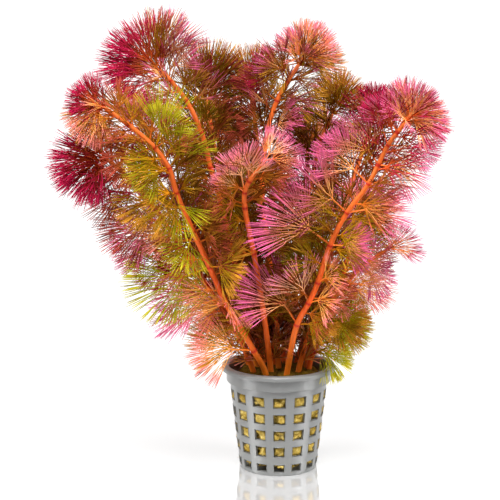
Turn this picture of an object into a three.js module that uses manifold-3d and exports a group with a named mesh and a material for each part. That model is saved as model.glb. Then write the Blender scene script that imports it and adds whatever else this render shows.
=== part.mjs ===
// A bunch of red cabomba in a net pot: cut shoots set in rock wool, with whorls of fan leaves.
// Millimetres, +Z up. The origin is the centre of the pot's base, which stands on the ground plane.
// The view that the plant is arranged for looks along +Y, with +X to the right.
import * as THREE from 'three';
import { mergeVertices } from 'three/addons/utils/BufferGeometryUtils.js';
import Module from 'manifold-3d';

const wasm = await Module();
wasm.setup();

// Net pot.
const POT_HEIGHT = 50;
const POT_BASE_RADIUS = 18.4;
const POT_LEDGE_RADIUS = 23.3;
const POT_LEDGE_HEIGHT = 42;
const POT_COLLAR_RADIUS = 25;
const POT_LIP_RADIUS = 26.5;
const POT_LIP_DEPTH = 2.5;
const POT_LIP_CHAMFER = 0.7;
const POT_WALL = 1.2;
const POT_FLOOR = 1.6;
const WINDOW_COLUMNS = 14;
const WINDOW_ANGLE = 15;
const FACET_ANGLE = 15.6;
const WINDOW_ROW_HEIGHTS = [3.7, 4.9, 4.9, 4.9, 4.9];
const WINDOW_ROW_PITCH = 8.2;
const WINDOW_BOTTOM_CENTRE = 3.7;

// Rock wool.
const WOOL_BOTTOM = 5.9;
const WOOL_TOP = 45;
const WOOL_SIDES = 14;
const WOOL_EDGE = { drop: 1.5, pull: 1.7, start: 39 };
const WOOL_LUMP = { height: 0.45, acrossX: 0.45, acrossY: 0.6 };

// Shoots and leaves.
const SIDES = 6;
const STEM_RADIUS_LOW = 1.45;
const STEM_RADIUS_HIGH = 0.95;
const JOINT_COLLAR = { beyond: 1.5, height: 2.6, sides: 4 };
const BUD_RADIUS = 1.7;
const BUD_ROWS = 3;
const LEAF_THICKNESS = 1.4;
const STALK_WIDTH = 1.3;
const ROOT_DEPTH = 1.2;
const STALK_SHARE = 0.34;
const HUB_SHARE = 0.36;
const WHORL_FAN = { lobes: 5, halfAngle: 74 };
const CROWN_FAN = { lobes: 4, halfAngle: 54 };
const FURTHER_FAN = { lobes: 3, halfAngle: 62 };
const SIDE_LOBE_SHARE = 0.86;
const VALLEY_SHARE = 0.66;
const LEAF_SWING = 60;
const SWING_STEP = 2.4;
const LEAF_LOOK_UP = 0.35;

// Room between neighbouring pieces, and the distance under which corners are one.
const GAP = 0.3;
const WELD = 1e-3;

// Colour and roughness of what isn't a leaf.
const PLASTIC = { color: 0xa9aaa9, roughness: 0.45 };
const MINERAL_WOOL = { color: 0xb08f36, roughness: 0.95 };
const STEM_SKIN = { color: 0xd9732c, roughness: 0.5 };
const LEAF_ROUGHNESS = 0.6;

const TINTS = {
  crimson: 0xb02a50,
  pink: 0xdd6f9a,
  pale: 0xe0a2a4,
  orange: 0xd9772f,
  brown: 0x7d3c1a,
  olive: 0x8a8a1a,
  green: 0x9aa62a,
};

// The shoots. A route holds the points that a stem passes, from its foot in the wool to its tip.
// A whorl is keyed by the number of its route point. A leaf is its turn about +Z from +X and its
// rise above level in degrees, its length from the stem to its tips, and its tint.
const SHOOTS = {
  a: {
    route: [
      [-4, -8, 37], [-7, -11, 50], [-12, -15, 60], [-26, -24, 87], [-32, -29, 102],
      [-39, -35, 119], [-46, -41, 137], [-49, -43, 148], [-55, -45, 157], [-66, -47, 167],
      [-77, -48, 175],
    ],
    whorls: {
      2: [[205, 10, 34, 'orange'], [170, 10, 35, 'orange']],
      3: [[190, -14, 37, 'pink'], [290, -10, 24, 'orange']],
      4: [[183, -22, 42, 'green'], [300, 10, 30, 'olive']],
      6: [[200, -10, 30, 'olive'], [245, -30, 30, 'olive']],
      8: [[195, -15, 26, 'brown'], [330, 60, 24, 'brown']],
    },
    crown: [
      [200, 10, 16, 'crimson'], [155, 50, 16, 'crimson'], [170, -35, 19, 'orange'],
      [215, -75, 20, 'orange'],
    ],
  },
  b: {
    route: [
      [-9, -4, 37], [-13, -5, 50], [-20, -8, 68], [-34, -14, 91], [-44, -18, 107], [-53, -22, 122],
      [-66, -27, 140], [-77, -32, 151],
    ],
    whorls: {
      4: [[190, -20, 28, 'brown'], [180, 18, 37, 'pink']],
      6: [[200, -15, 22, 'brown'], [315, 45, 18, 'green']],
    },
    crown: [
      [188, 0, 27, 'crimson'], [200, -30, 27, 'crimson'], [235, -55, 25, 'crimson'],
      [150, 45, 22, 'crimson'],
    ],
  },
  c: {
    route: [
      [-9, 3, 37], [-11, 4, 50], [-16, 3, 71], [-21, 0, 99], [-27, -4, 127], [-32, -6, 145],
      [-36, -7, 161], [-43, -8, 176], [-50, -9, 185], [-55, -9, 190],
    ],
    whorls: {
      4: [[215, 5, 24, 'brown'], [300, 15, 26, 'olive']],
      8: [[205, 0, 28, 'crimson'], [300, 60, 26, 'pink']],
    },
    crown: [
      [190, 10, 30, 'crimson'], [200, 45, 28, 'crimson'], [145, 83, 30, 'orange'],
      [33, 66, 31, 'orange'],
    ],
  },
  d: {
    route: [
      [-3, -4, 37], [-4, -5, 50], [-7, -13, 75], [-12, -27, 108], [-16, -36, 130], [-16, -39, 137],
      [-14, -41, 142], [-8, -43, 150],
    ],
    whorls: {
      5: [[245, 65, 28, 'pale'], [205, 35, 19, 'pale']],
    },
    crown: [
      [150, 80, 17, 'pink'], [335, 60, 19, 'pink'], [350, 15, 19, 'pink'],
    ],
  },
  e: {
    route: [
      [2, -10, 37], [4, -12, 50], [8, -22, 74], [13, -27, 85], [17, -30, 95],
      [22, -36, 113], [29, -40, 128], [38, -43, 141], [46, -45, 158], [54, -46, 169],
    ],
    whorls: {
      2: [[220, 40, 44, 'pink'], [325, 10, 22, 'olive']],
      5: [[210, 25, 44, 'pink'], [325, 5, 24, 'pink']],
      7: [[185, 45, 32, 'pink'], [20, 10, 21, 'pink']],
      8: [[200, 70, 26, 'crimson'], [345, 0, 25, 'pink']],
    },
    crown: [
      [150, 75, 20, 'pink'], [345, 60, 18, 'pink'], [5, 15, 18, 'pink'], [345, -25, 20, 'pink'],
    ],
  },
  h: {
    route: [
      [1, 2, 37], [0, 2, 50], [-1, 4, 71], [-5, 6, 104], [-8, 8, 133], [-5, 10, 162],
      [-1, 11, 175], [4, 11, 184], [10, 12, 193],
    ],
    whorls: {
      4: [[75, 25, 26, 'olive'], [265, 10, 24, 'brown']],
      5: [[310, 25, 25, 'pink'], [215, 25, 20, 'brown']],
    },
    crown: [
      [200, 60, 19, 'pink'], [325, 75, 22, 'pink'], [0, 40, 22, 'pink'], [345, 0, 21, 'pink'],
    ],
  },
  j: {
    route: [
      [8, -3, 37], [10, -4, 50], [16, -8, 70], [22, -11, 78], [25, -13, 84], [31, -16, 92],
      [37, -19, 100], [49, -23, 109],
    ],
    whorls: {
      3: [[350, -5, 22, 'olive'], [315, -30, 24, 'olive']],
      6: [[310, -10, 22, 'pink'], [150, 70, 22, 'pink']],
    },
    crown: [
      [20, 50, 15, 'pink'], [355, 15, 16, 'pink'], [335, -15, 18, 'pink'],
    ],
  },
  k: {
    route: [
      [12, 3, 37], [14, 4, 50], [18, 7, 65], [30, 12, 85], [33, 14, 96], [36, 16, 107],
      [40, 18, 116],
    ],
    whorls: {
      3: [[345, 20, 22, 'pink'], [205, 35, 27, 'olive']],
    },
    crown: [
      [340, 5, 17, 'brown'], [340, 60, 21, 'pink'], [240, 65, 25, 'pink'], [15, 25, 25, 'pink'],
    ],
  },
  l: {
    route: [
      [14, -1, 37], [15, 0, 50], [17, 0, 56], [21, 0, 63], [24, 0, 67],
    ],
    whorls: {
      2: [[300, -5, 31, 'green'], [345, -22, 21, 'green']],
    },
    crown: [
      [345, 0, 22, 'olive'], [10, 30, 23, 'olive'], [315, -25, 21, 'green'],
    ],
  },
  g: {
    route: [
      [-6, 10, 37], [-8, 12, 50], [-13, 16, 73], [-24, 24, 111], [-31, 32, 150], [-35, 36, 175],
    ],
    whorls: {},
    crown: [
      [180, 75, 23, 'olive'], [300, 80, 30, 'olive'], [10, 70, 32, 'olive'],
      [0, 50, 28, 'crimson'],
    ],
  },
  i: {
    route: [
      [-2, 9, 37], [-2, 11, 50], [-4, 22, 87], [-8, 34, 130], [-11, 42, 162], [-13, 45, 175],
    ],
    whorls: {
      3: [[95, 20, 26, 'brown'], [265, 15, 24, 'olive']],
    },
    crown: [
      [205, 70, 20, 'brown'], [70, 80, 29, 'olive'], [340, 70, 28, 'olive'],
      [155, 25, 18, 'crimson'],
    ],
  },
  n: {
    route: [
      [4, 9, 37], [5, 11, 50], [8, 20, 77], [14, 34, 120], [22, 44, 154], [28, 47, 168],
    ],
    whorls: {
      4: [[175, 40, 23, 'olive'], [350, 20, 17, 'brown']],
    },
    crown: [
      [355, 65, 23, 'olive'], [110, 80, 21, 'olive'], [350, 35, 20, 'olive'],
      [220, 55, 19, 'olive'],
    ],
  },
  q: {
    route: [
      [-12, 8, 37], [-15, 10, 50], [-22, 14, 70], [-38, 22, 107], [-55, 30, 141], [-66, 34, 162],
    ],
    whorls: {
      3: [[205, -30, 27, 'olive'], [60, 30, 22, 'brown']],
    },
    crown: [
      [210, 50, 14, 'pink'], [180, 80, 17, 'pink'], [170, 35, 26, 'olive'],
      [10, 55, 18, 'brown'],
    ],
  },
  r: {
    route: [
      [8, 12, 37], [10, 14, 50], [20, 19, 78], [32, 26, 121], [42, 32, 150], [47, 34, 166],
    ],
    whorls: {
      3: [[0, 5, 22, 'brown'], [175, 30, 19, 'olive']],
    },
    crown: [
      [235, 80, 18, 'crimson'], [20, 70, 17, 'crimson'], [180, 50, 16, 'brown'],
      [20, 30, 16, 'pink'],
    ],
  },
  t: {
    route: [
      [-4, 15, 37], [-6, 18, 50], [-14, 30, 75], [-25, 52, 123], [-30, 62, 153],
    ],
    whorls: {
      3: [[155, -5, 26, 'olive'], [60, 20, 24, 'orange']],
    },
    crown: [
      [145, 55, 25, 'pink'], [65, 80, 26, 'orange'], [35, 40, 23, 'pink'], [90, -5, 28, 'crimson'],
    ],
  },
  u: {
    route: [
      [2, 15, 37], [3, 18, 50], [8, 30, 75], [14, 54, 118], [16, 64, 148],
    ],
    whorls: {
      3: [[30, 10, 26, 'olive'], [125, 20, 26, 'orange']],
    },
    crown: [
      [170, 60, 24, 'orange'], [45, 75, 26, 'pink'], [30, 25, 22, 'pink'], [85, -5, 28, 'crimson'],
    ],
  },
};

// Further leaves of some whorls and crowns, which fill the back and the inside of the bunch.
const FURTHER_LEAVES = {
  leaf_whorl_b4: [[130, -10, 32, 'olive']],
  leaf_whorl_b6: [[110, 0, 28, 'brown']],
  leaf_whorl_c4: [[110, -20, 34, 'olive']],
  leaf_whorl_c8: [[100, -25, 34, 'brown'], [50, -10, 28, 'brown']],
  leaf_whorl_h4: [[140, -30, 32, 'brown'], [20, -30, 32, 'brown']],
  leaf_whorl_h5: [[100, 5, 30, 'olive']],
  leaf_crown_g: [[255, -25, 28, 'olive']],
  leaf_whorl_i3: [[180, -30, 32, 'olive'], [0, -30, 32, 'brown']],
  leaf_whorl_n4: [[80, -30, 30, 'brown'], [300, -15, 28, 'olive']],
  leaf_whorl_q3: [[120, -20, 34, 'olive'], [50, -15, 30, 'brown'], [70, -50, 36, 'brown']],
  leaf_crown_q: [[100, -50, 28, 'olive'], [230, -45, 27, 'brown']],
  leaf_whorl_r3: [[65, -25, 34, 'brown'], [270, -10, 30, 'olive'], [330, -45, 32, 'olive']],
  leaf_whorl_t3: [[110, -45, 36, 'brown'], [215, -40, 34, 'olive'], [0, -35, 32, 'brown']],
  leaf_whorl_u3: [[75, -45, 36, 'brown'], [340, -35, 32, 'olive']],
};

// Shapes and solids.

// A closed three.js geometry as a solid that can be cut and joined.
function solidOf(geometry) {
  const bare = geometry.clone();
  bare.deleteAttribute('normal');
  bare.deleteAttribute('uv');
  const merged = mergeVertices(bare, WELD);
  const triangles = [];
  const corners = merged.index.array;
  for (let at = 0; at < corners.length; at += 3) {
    const [one, two, three] = corners.slice(at, at + 3);
    if (one !== two && two !== three && three !== one) triangles.push(one, two, three);
  }
  return new wasm.Manifold(new wasm.Mesh({
    numProp: 3,
    vertProperties: Float32Array.from(merged.attributes.position.array),
    triVerts: Uint32Array.from(triangles),
  }));
}

// A solid as a named mesh of its own colour and finish.
function meshOf(name, solid, { color, roughness }) {
  const result = solid.getMesh();
  const geometry = new THREE.BufferGeometry();
  geometry.setAttribute('position', new THREE.BufferAttribute(result.vertProperties, 3));
  geometry.setIndex(new THREE.BufferAttribute(result.triVerts, 1));
  const material = new THREE.MeshStandardMaterial({ color, roughness, metalness: 0 });
  const mesh = new THREE.Mesh(geometry, material);
  mesh.name = name;
  return mesh;
}

// A profile of [radius, height] pairs turned about +Z, with its corners at the given angles.
function turned(profile, angles) {
  const points = profile.map(([radius, height]) => new THREE.Vector2(radius, height));
  const geometry = new THREE.LatheGeometry(points, angles.length);
  geometry.rotateX(Math.PI / 2);
  const position = geometry.attributes.position;
  for (let vertex = 0; vertex < position.count; vertex += 1) {
    const angle = angles[Math.floor(vertex / points.length) % angles.length];
    const radius = profile[vertex % points.length][0];
    position.setXY(vertex, radius * Math.cos(angle), radius * Math.sin(angle));
  }
  return geometry;
}

// Net pot.

const pitchAngle = (2 * Math.PI) / WINDOW_COLUMNS;
const frontAngle = -Math.PI / 2;

// The outer radius of the tapered wall.
function wallRadius(height) {
  return THREE.MathUtils.mapLinear(height, 0, POT_LEDGE_HEIGHT, POT_BASE_RADIUS, POT_LEDGE_RADIUS);
}

// The pot is many-sided: a window facet and a bar facet by turns, with a window facing the front.
function potAngles() {
  const half = THREE.MathUtils.degToRad(FACET_ANGLE / 2);
  const angles = [];
  for (let column = 0; column < WINDOW_COLUMNS; column += 1) {
    const centre = frontAngle + column * pitchAngle;
    angles.push(centre - half, centre + half);
  }
  return angles;
}

// The room that the leaves leave the pot: its whole outer form, filled in.
function potRoom() {
  return turned([
    [0, -GAP],
    [POT_BASE_RADIUS + GAP, -GAP],
    [POT_LIP_RADIUS + GAP, POT_LEDGE_HEIGHT],
    [POT_LIP_RADIUS + GAP, POT_HEIGHT + GAP],
    [0, POT_HEIGHT + GAP],
  ], potAngles());
}

// The pot before its openings are cut: floor, tapered wall, ledge, collar and lip.
function potBasket() {
  const lipBottom = POT_HEIGHT - POT_LIP_DEPTH;
  const collarInside = POT_COLLAR_RADIUS - POT_WALL;
  return turned([
    [0, 0],
    [POT_BASE_RADIUS, 0],
    [POT_LEDGE_RADIUS, POT_LEDGE_HEIGHT],
    [POT_COLLAR_RADIUS, POT_LEDGE_HEIGHT],
    [POT_COLLAR_RADIUS, lipBottom],
    [POT_LIP_RADIUS, lipBottom],
    [POT_LIP_RADIUS, POT_HEIGHT - POT_LIP_CHAMFER],
    [POT_LIP_RADIUS - POT_LIP_CHAMFER, POT_HEIGHT],
    [collarInside, POT_HEIGHT],
    [collarInside, POT_LEDGE_HEIGHT + POT_WALL],
    [POT_LEDGE_RADIUS - POT_WALL, POT_LEDGE_HEIGHT],
    [POT_BASE_RADIUS - POT_WALL, POT_FLOOR],
    [0, POT_FLOOR],
  ], potAngles());
}

// A block that cuts one window through the wall.
function windowBlock(column, row) {
  const centre = WINDOW_BOTTOM_CENTRE + row * WINDOW_ROW_PITCH;
  const radius = wallRadius(centre);
  const width = 2 * (radius - POT_WALL) * Math.sin(THREE.MathUtils.degToRad(WINDOW_ANGLE / 2));
  const block = new THREE.BoxGeometry(5 * POT_WALL, width, WINDOW_ROW_HEIGHTS[row]);
  block.translate(radius, 0, centre);
  return block.rotateZ(frontAngle + column * pitchAngle);
}

function potSolid() {
  let solid = solidOf(potBasket());
  for (let column = 0; column < WINDOW_COLUMNS; column += 1) {
    for (let row = 0; row < WINDOW_ROW_HEIGHTS.length; row += 1) {
      solid = solid.subtract(solidOf(windowBlock(column, row)));
    }
  }
  return solid;
}

// Rock wool.

// The plug fills the taper of the pot. Its top is lumpy and pulls away from the wall.
function woolSolid() {
  const fit = (height) => wallRadius(height) - POT_WALL - 2 * GAP;
  const edge = fit(WOOL_EDGE.start) - WOOL_EDGE.pull;
  const profile = [
    [0, WOOL_BOTTOM],
    [fit(WOOL_BOTTOM), WOOL_BOTTOM],
    [fit(WOOL_EDGE.start), WOOL_EDGE.start],
    [edge, WOOL_TOP - WOOL_EDGE.drop],
    [edge - 2 * WOOL_EDGE.pull, WOOL_TOP],
    [0, WOOL_TOP],
  ];
  const angles = [];
  for (let side = 0; side < WOOL_SIDES; side += 1) angles.push((2 * Math.PI * side) / WOOL_SIDES);
  const geometry = turned(profile, angles);
  const position = geometry.attributes.position;
  for (let vertex = 0; vertex < position.count; vertex += 1) {
    const height = position.getZ(vertex);
    if (height < POT_LEDGE_HEIGHT) continue;
    const waveX = Math.sin(WOOL_LUMP.acrossX * position.getX(vertex));
    const waveY = Math.cos(WOOL_LUMP.acrossY * position.getY(vertex));
    position.setZ(vertex, height + WOOL_LUMP.height * (waveX + waveY));
  }
  return solidOf(geometry);
}

// Shoots.

// The stem's axis at each route point: its place, its direction and two directions across it.
function framesOf(route) {
  const steps = route.length - 1;
  const curve = new THREE.CatmullRomCurve3(route.map((point) => new THREE.Vector3(...point)));
  const frames = [];
  let across = new THREE.Vector3(1, 0, 0);
  for (let step = 0; step <= steps; step += 1) {
    const along = curve.getTangent(step / steps);
    across = across.clone().addScaledVector(along, -across.dot(along)).normalize();
    const beside = new THREE.Vector3().crossVectors(along, across);
    frames.push({ place: new THREE.Vector3(...route[step]), along, across, beside });
  }
  return frames;
}

// A stem thins evenly from foot to tip.
function stemRadius(share) {
  return THREE.MathUtils.lerp(STEM_RADIUS_LOW, STEM_RADIUS_HIGH, share);
}

// A tapered tube through the route points. A margin makes the room that other pieces leave it.
function stemSolid(frames, margin) {
  const steps = frames.length - 1;
  const tube = new THREE.CylinderGeometry(1, 1, 1, SIDES, steps);
  const position = tube.attributes.position;
  for (let vertex = 0; vertex < position.count; vertex += 1) {
    const share = position.getY(vertex) + 0.5;
    const { place, along, across, beside } = frames[Math.round(share * steps)];
    const radius = stemRadius(share) + margin;
    const atEnd = share < WELD || share > 1 - WELD;
    const point = place.clone().addScaledVector(along, atEnd ? Math.sign(share - 0.5) * margin : 0);
    point.addScaledVector(across, radius * position.getX(vertex));
    point.addScaledVector(beside, -radius * position.getZ(vertex));
    position.setXYZ(vertex, point.x, point.y, point.z);
  }
  return solidOf(tube);
}

// Leaves.

// A leaf's outline lies flat: the stalk runs along +X and the fan opens past its end in lobes.
function leafOutline(length, fan, margin) {
  const neck = length * STALK_SHARE;
  const half = STALK_WIDTH / 2 + margin;
  const points = [[-ROOT_DEPTH - margin, 0], [neck, -half]];
  for (let step = 0; step <= 2 * fan.lobes - 2; step += 1) {
    const share = step / (fan.lobes - 1) - 1;
    const angle = THREE.MathUtils.degToRad(fan.halfAngle * share);
    const lobeShare = THREE.MathUtils.lerp(1, SIDE_LOBE_SHARE, share * share);
    const radius = (length - neck) * (step % 2 === 0 ? lobeShare : VALLEY_SHARE) + margin;
    points.push([neck + radius * Math.cos(angle), radius * Math.sin(angle)]);
  }
  points.push([neck, half]);
  return points;
}

// The way that a leaf points, and the way that its face looks: towards the front or the back of
// the plant, swung to one side or the other from leaf to leaf.
function leafBasis([turn, rise], number) {
  const around = THREE.MathUtils.degToRad(turn);
  const up = THREE.MathUtils.degToRad(rise);
  const level = Math.cos(up);
  const along = new THREE.Vector3(level * Math.cos(around), level * Math.sin(around), Math.sin(up));
  const swing = THREE.MathUtils.degToRad(LEAF_SWING * Math.sin(SWING_STEP * number));
  const face = new THREE.Vector3(Math.sin(swing), -Math.cos(swing), LEAF_LOOK_UP);
  face.addScaledVector(along, -face.dot(along)).normalize();
  const side = new THREE.Vector3().crossVectors(face, along);
  return new THREE.Matrix4().makeBasis(along, side, face);
}

// A leaf is thick at the end of its stalk and thins to its edge: a ball with one ring of corners,
// drawn out to the outline.
function leafSolid(leaf, number, place, fan, margin) {
  const length = leaf[2];
  const outline = leafOutline(length, fan, margin);
  const hub = [HUB_SHARE * length, 0];
  const blade = new THREE.SphereGeometry(1, outline.length, 2);
  const position = blade.attributes.position;
  const rowLength = outline.length + 1;
  for (let vertex = 0; vertex < position.count; vertex += 1) {
    const row = Math.floor(vertex / rowLength) - 1;
    const corner = (vertex % rowLength) % outline.length;
    const [out, aside] = row === 0 ? outline[corner] : hub;
    position.setXYZ(vertex, out, aside, -row * (LEAF_THICKNESS / 2 + margin));
  }
  blade.applyMatrix4(leafBasis(leaf, number).setPosition(place));
  return solidOf(blade);
}

// The ring that a whorl's leaves grow from, drawn as a full disc before the stem is cut out of it.
function collarSolid(frame, radius, margin) {
  const height = JOINT_COLLAR.height + 2 * margin;
  const outer = radius + JOINT_COLLAR.beyond + margin;
  const disc = new THREE.CylinderGeometry(outer, outer, height, JOINT_COLLAR.sides);
  const lean = new THREE.Matrix4().makeBasis(frame.across, frame.along, frame.beside.clone().negate());
  return solidOf(disc.applyMatrix4(lean.setPosition(frame.place)));
}

// The bud that a crown's leaves grow from, just past the end of the stem.
function budSolid(place, margin) {
  const ball = new THREE.SphereGeometry(BUD_RADIUS + margin, SIDES, BUD_ROWS);
  return solidOf(ball.translate(...place));
}

// The plant.

// Every stem, and every place on a stem where leaves grow.
const sitesByName = {};
const stems = {};
let leafNumber = 0;
for (const [letter, shoot] of Object.entries(SHOOTS)) {
  const frames = framesOf(shoot.route);
  const last = frames.length - 1;
  stems[letter] = { solid: stemSolid(frames, 0), room: stemSolid(frames, GAP) };
  for (const [at, leaves] of Object.entries(shoot.whorls)) {
    const frame = frames[at];
    const radius = stemRadius(at / last);
    sitesByName[`leaf_whorl_${letter}${at}`] = {
      place: frame.place,
      fans: [{ leaves, fan: WHORL_FAN, first: leafNumber }],
      core: (margin) => collarSolid(frame, radius, margin),
    };
    leafNumber += leaves.length;
  }
  const tip = frames[last];
  const place = tip.place.clone().addScaledVector(tip.along, BUD_RADIUS);
  sitesByName[`leaf_crown_${letter}`] = {
    place,
    fans: [{ leaves: shoot.crown, fan: CROWN_FAN, first: leafNumber }],
    core: (margin) => budSolid(place, margin),
  };
  leafNumber += shoot.crown.length;
}
for (const [name, leaves] of Object.entries(FURTHER_LEAVES)) {
  sitesByName[name].fans.push({ leaves, fan: FURTHER_FAN, first: leafNumber });
  leafNumber += leaves.length;
}

// All the leaves of one place, joined to the ring or the bud that they grow from.
function foliageSolid(site, margin) {
  let solid = site.core(margin);
  for (const { leaves, fan, first } of site.fans) {
    leaves.forEach((leaf, index) => {
      solid = solid.add(leafSolid(leaf, first + index, site.place, fan, margin));
    });
  }
  return solid;
}

function boxesMeet(one, two) {
  return [0, 1, 2].every((axis) => one.min[axis] < two.max[axis] && two.min[axis] < one.max[axis]);
}

function boxHolds(box, point) {
  return point.toArray().every((value, axis) => box.min[axis] < value && value < box.max[axis]);
}

// The body that is left round a point when the room of its neighbours is cut away.
function carved(solid, rooms, point) {
  const box = solid.boundingBox();
  let left = solid;
  for (const room of rooms) {
    if (boxesMeet(box, room.boundingBox())) left = left.subtract(room);
  }
  const bodies = left.decompose().filter((body) => boxHolds(body.boundingBox(), point));
  return bodies.reduce((most, body) => (body.volume() > most.volume() ? body : most));
}

const group = new THREE.Group();
group.add(meshOf('pot', potSolid(), PLASTIC));

const stemRooms = Object.values(stems).map((stem) => stem.room);
const woolMiddle = new THREE.Vector3(0, 0, WOOL_TOP / 2);
const wool = carved(woolSolid(), stemRooms, woolMiddle);
group.add(meshOf('rock_wool', wool, MINERAL_WOOL));
for (const [letter, stem] of Object.entries(stems)) {
  group.add(meshOf(`stem_${letter}`, stem.solid, STEM_SKIN));
}

// The outermost leaves keep their full shape, and the inner ones give way to them.
const outermost = ([, one], [, two]) => two.place.length() - one.place.length();
const rooms = [...stemRooms, solidOf(potRoom())];
for (const [name, site] of Object.entries(sitesByName).sort(outermost)) {
  const solid = carved(foliageSolid(site, 0), rooms, site.place);
  rooms.push(foliageSolid(site, GAP));
  const color = TINTS[site.fans[0].leaves[0][3]];
  group.add(meshOf(name, solid, { color, roughness: LEAF_ROUGHNESS }));
}

export default group;
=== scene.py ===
"""The looks of a potted red cabomba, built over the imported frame.

A bunch of cut shoots stands in mineral wool in a light grey net pot. Metres, +Z up, and the origin is
the centre of the pot's base. The leaves are grown as branching threads. Those of the main whorls and
crowns take the place of the flat lobed fans in the frame, and the small leaves have no solid there.
"""

import logging
import math
from collections.abc import Callable, Iterator, Sequence
from dataclasses import dataclass, field, replace
from enum import Enum

import bpy
import numpy as np
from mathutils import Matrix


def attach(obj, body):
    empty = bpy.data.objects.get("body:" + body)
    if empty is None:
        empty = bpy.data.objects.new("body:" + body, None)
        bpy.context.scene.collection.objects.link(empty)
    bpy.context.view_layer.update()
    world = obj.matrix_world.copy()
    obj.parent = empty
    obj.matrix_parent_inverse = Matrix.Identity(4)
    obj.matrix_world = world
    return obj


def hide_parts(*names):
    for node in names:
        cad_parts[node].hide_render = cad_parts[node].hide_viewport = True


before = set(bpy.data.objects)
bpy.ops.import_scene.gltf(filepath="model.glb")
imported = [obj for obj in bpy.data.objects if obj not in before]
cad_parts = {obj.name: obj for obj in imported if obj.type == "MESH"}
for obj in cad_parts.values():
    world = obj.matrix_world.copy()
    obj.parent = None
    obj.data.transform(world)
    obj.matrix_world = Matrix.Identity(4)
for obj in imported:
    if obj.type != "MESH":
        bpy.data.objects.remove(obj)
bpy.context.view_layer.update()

LOG = logging.getLogger("cabomba")
MM = 0.001
ROOT_BODY = "root"
BAKE_MAP = "OFBake"

# Places of the colour sockets on a mix node: the factor and both colours, and the result.
MIX_INPUTS = (0, 6, 7)
MIX_RESULT = 2


class Tint(Enum):
    """The kinds of leaf colour."""

    CRIMSON = "leaf_crimson"
    PINK = "leaf_pink"
    PALE = "leaf_pale"
    ORANGE = "leaf_orange"
    BROWN = "leaf_brown"
    OLIVE = "leaf_olive"
    GREEN = "leaf_green"


CRIMSON, PINK, PALE, ORANGE, BROWN, OLIVE, GREEN = Tint
COMPANIONS = {
    CRIMSON: CRIMSON,
    PINK: ORANGE,
    PALE: ORANGE,
    ORANGE: OLIVE,
    BROWN: OLIVE,
    OLIVE: BROWN,
    GREEN: OLIVE,
}

Tree = bpy.types.NodeTree
Socket = bpy.types.NodeSocket
Source = Socket | float | tuple[float, float, float, float]
Point = tuple[float, float, float]
Rings = list[tuple[float, float]]
Leaf = tuple[float, float, float, Tint]


@dataclass(frozen=True)
class Shoot:
    """One cut shoot: a stem and the leaves along it.

    A leaf is its turn about +Z from +X and its rise above level in degrees, its length from the stem
    to its tips in millimetres, and its tint.

    Attributes:
        route: The points that the stem passes, in millimetres, from its foot in the wool to its tip.
        whorls: The main whorls, keyed by the number of their route point.
        crown: The leaves that end the shoot.
        small: Further leaves between and beside the main whorls, keyed by the number of the route
            point, or a number between two of them.
        filling: Tints of the short leaves all along the stem, from its foot to its tip.
        further: Further leaves of main whorls, keyed as the whorls are, and of the crown at the last
            route point.
        bare: Height in millimetres up to which the stem has no filling.
        young: Number of the youngest leaves, which close round the tip.
        open_crown: Whether the crown is a few open fans and not a dense tuft.
        light: Painted light: how much lighter its leaves are than their place in the bunch makes them.
        low: Tints of the slender leaves that rise beside the stem below the filling, if it has any.
        spacing: Millimetres along the stem from one place of the filling to the next.
    """

    route: tuple[Point, ...]
    whorls: dict[int, tuple[Leaf, ...]]
    crown: tuple[Leaf, ...]
    small: dict[float, tuple[Leaf, ...]] = field(default_factory=dict)
    filling: tuple[Tint, ...] = (ORANGE, BROWN, OLIVE, BROWN)
    further: dict[int, tuple[Leaf, ...]] = field(default_factory=dict)
    bare: float = 55.0
    young: int = 7
    open_crown: bool = False
    light: float = 0.0
    low: tuple[Tint, ...] = ()
    spacing: float = 8.5


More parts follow.
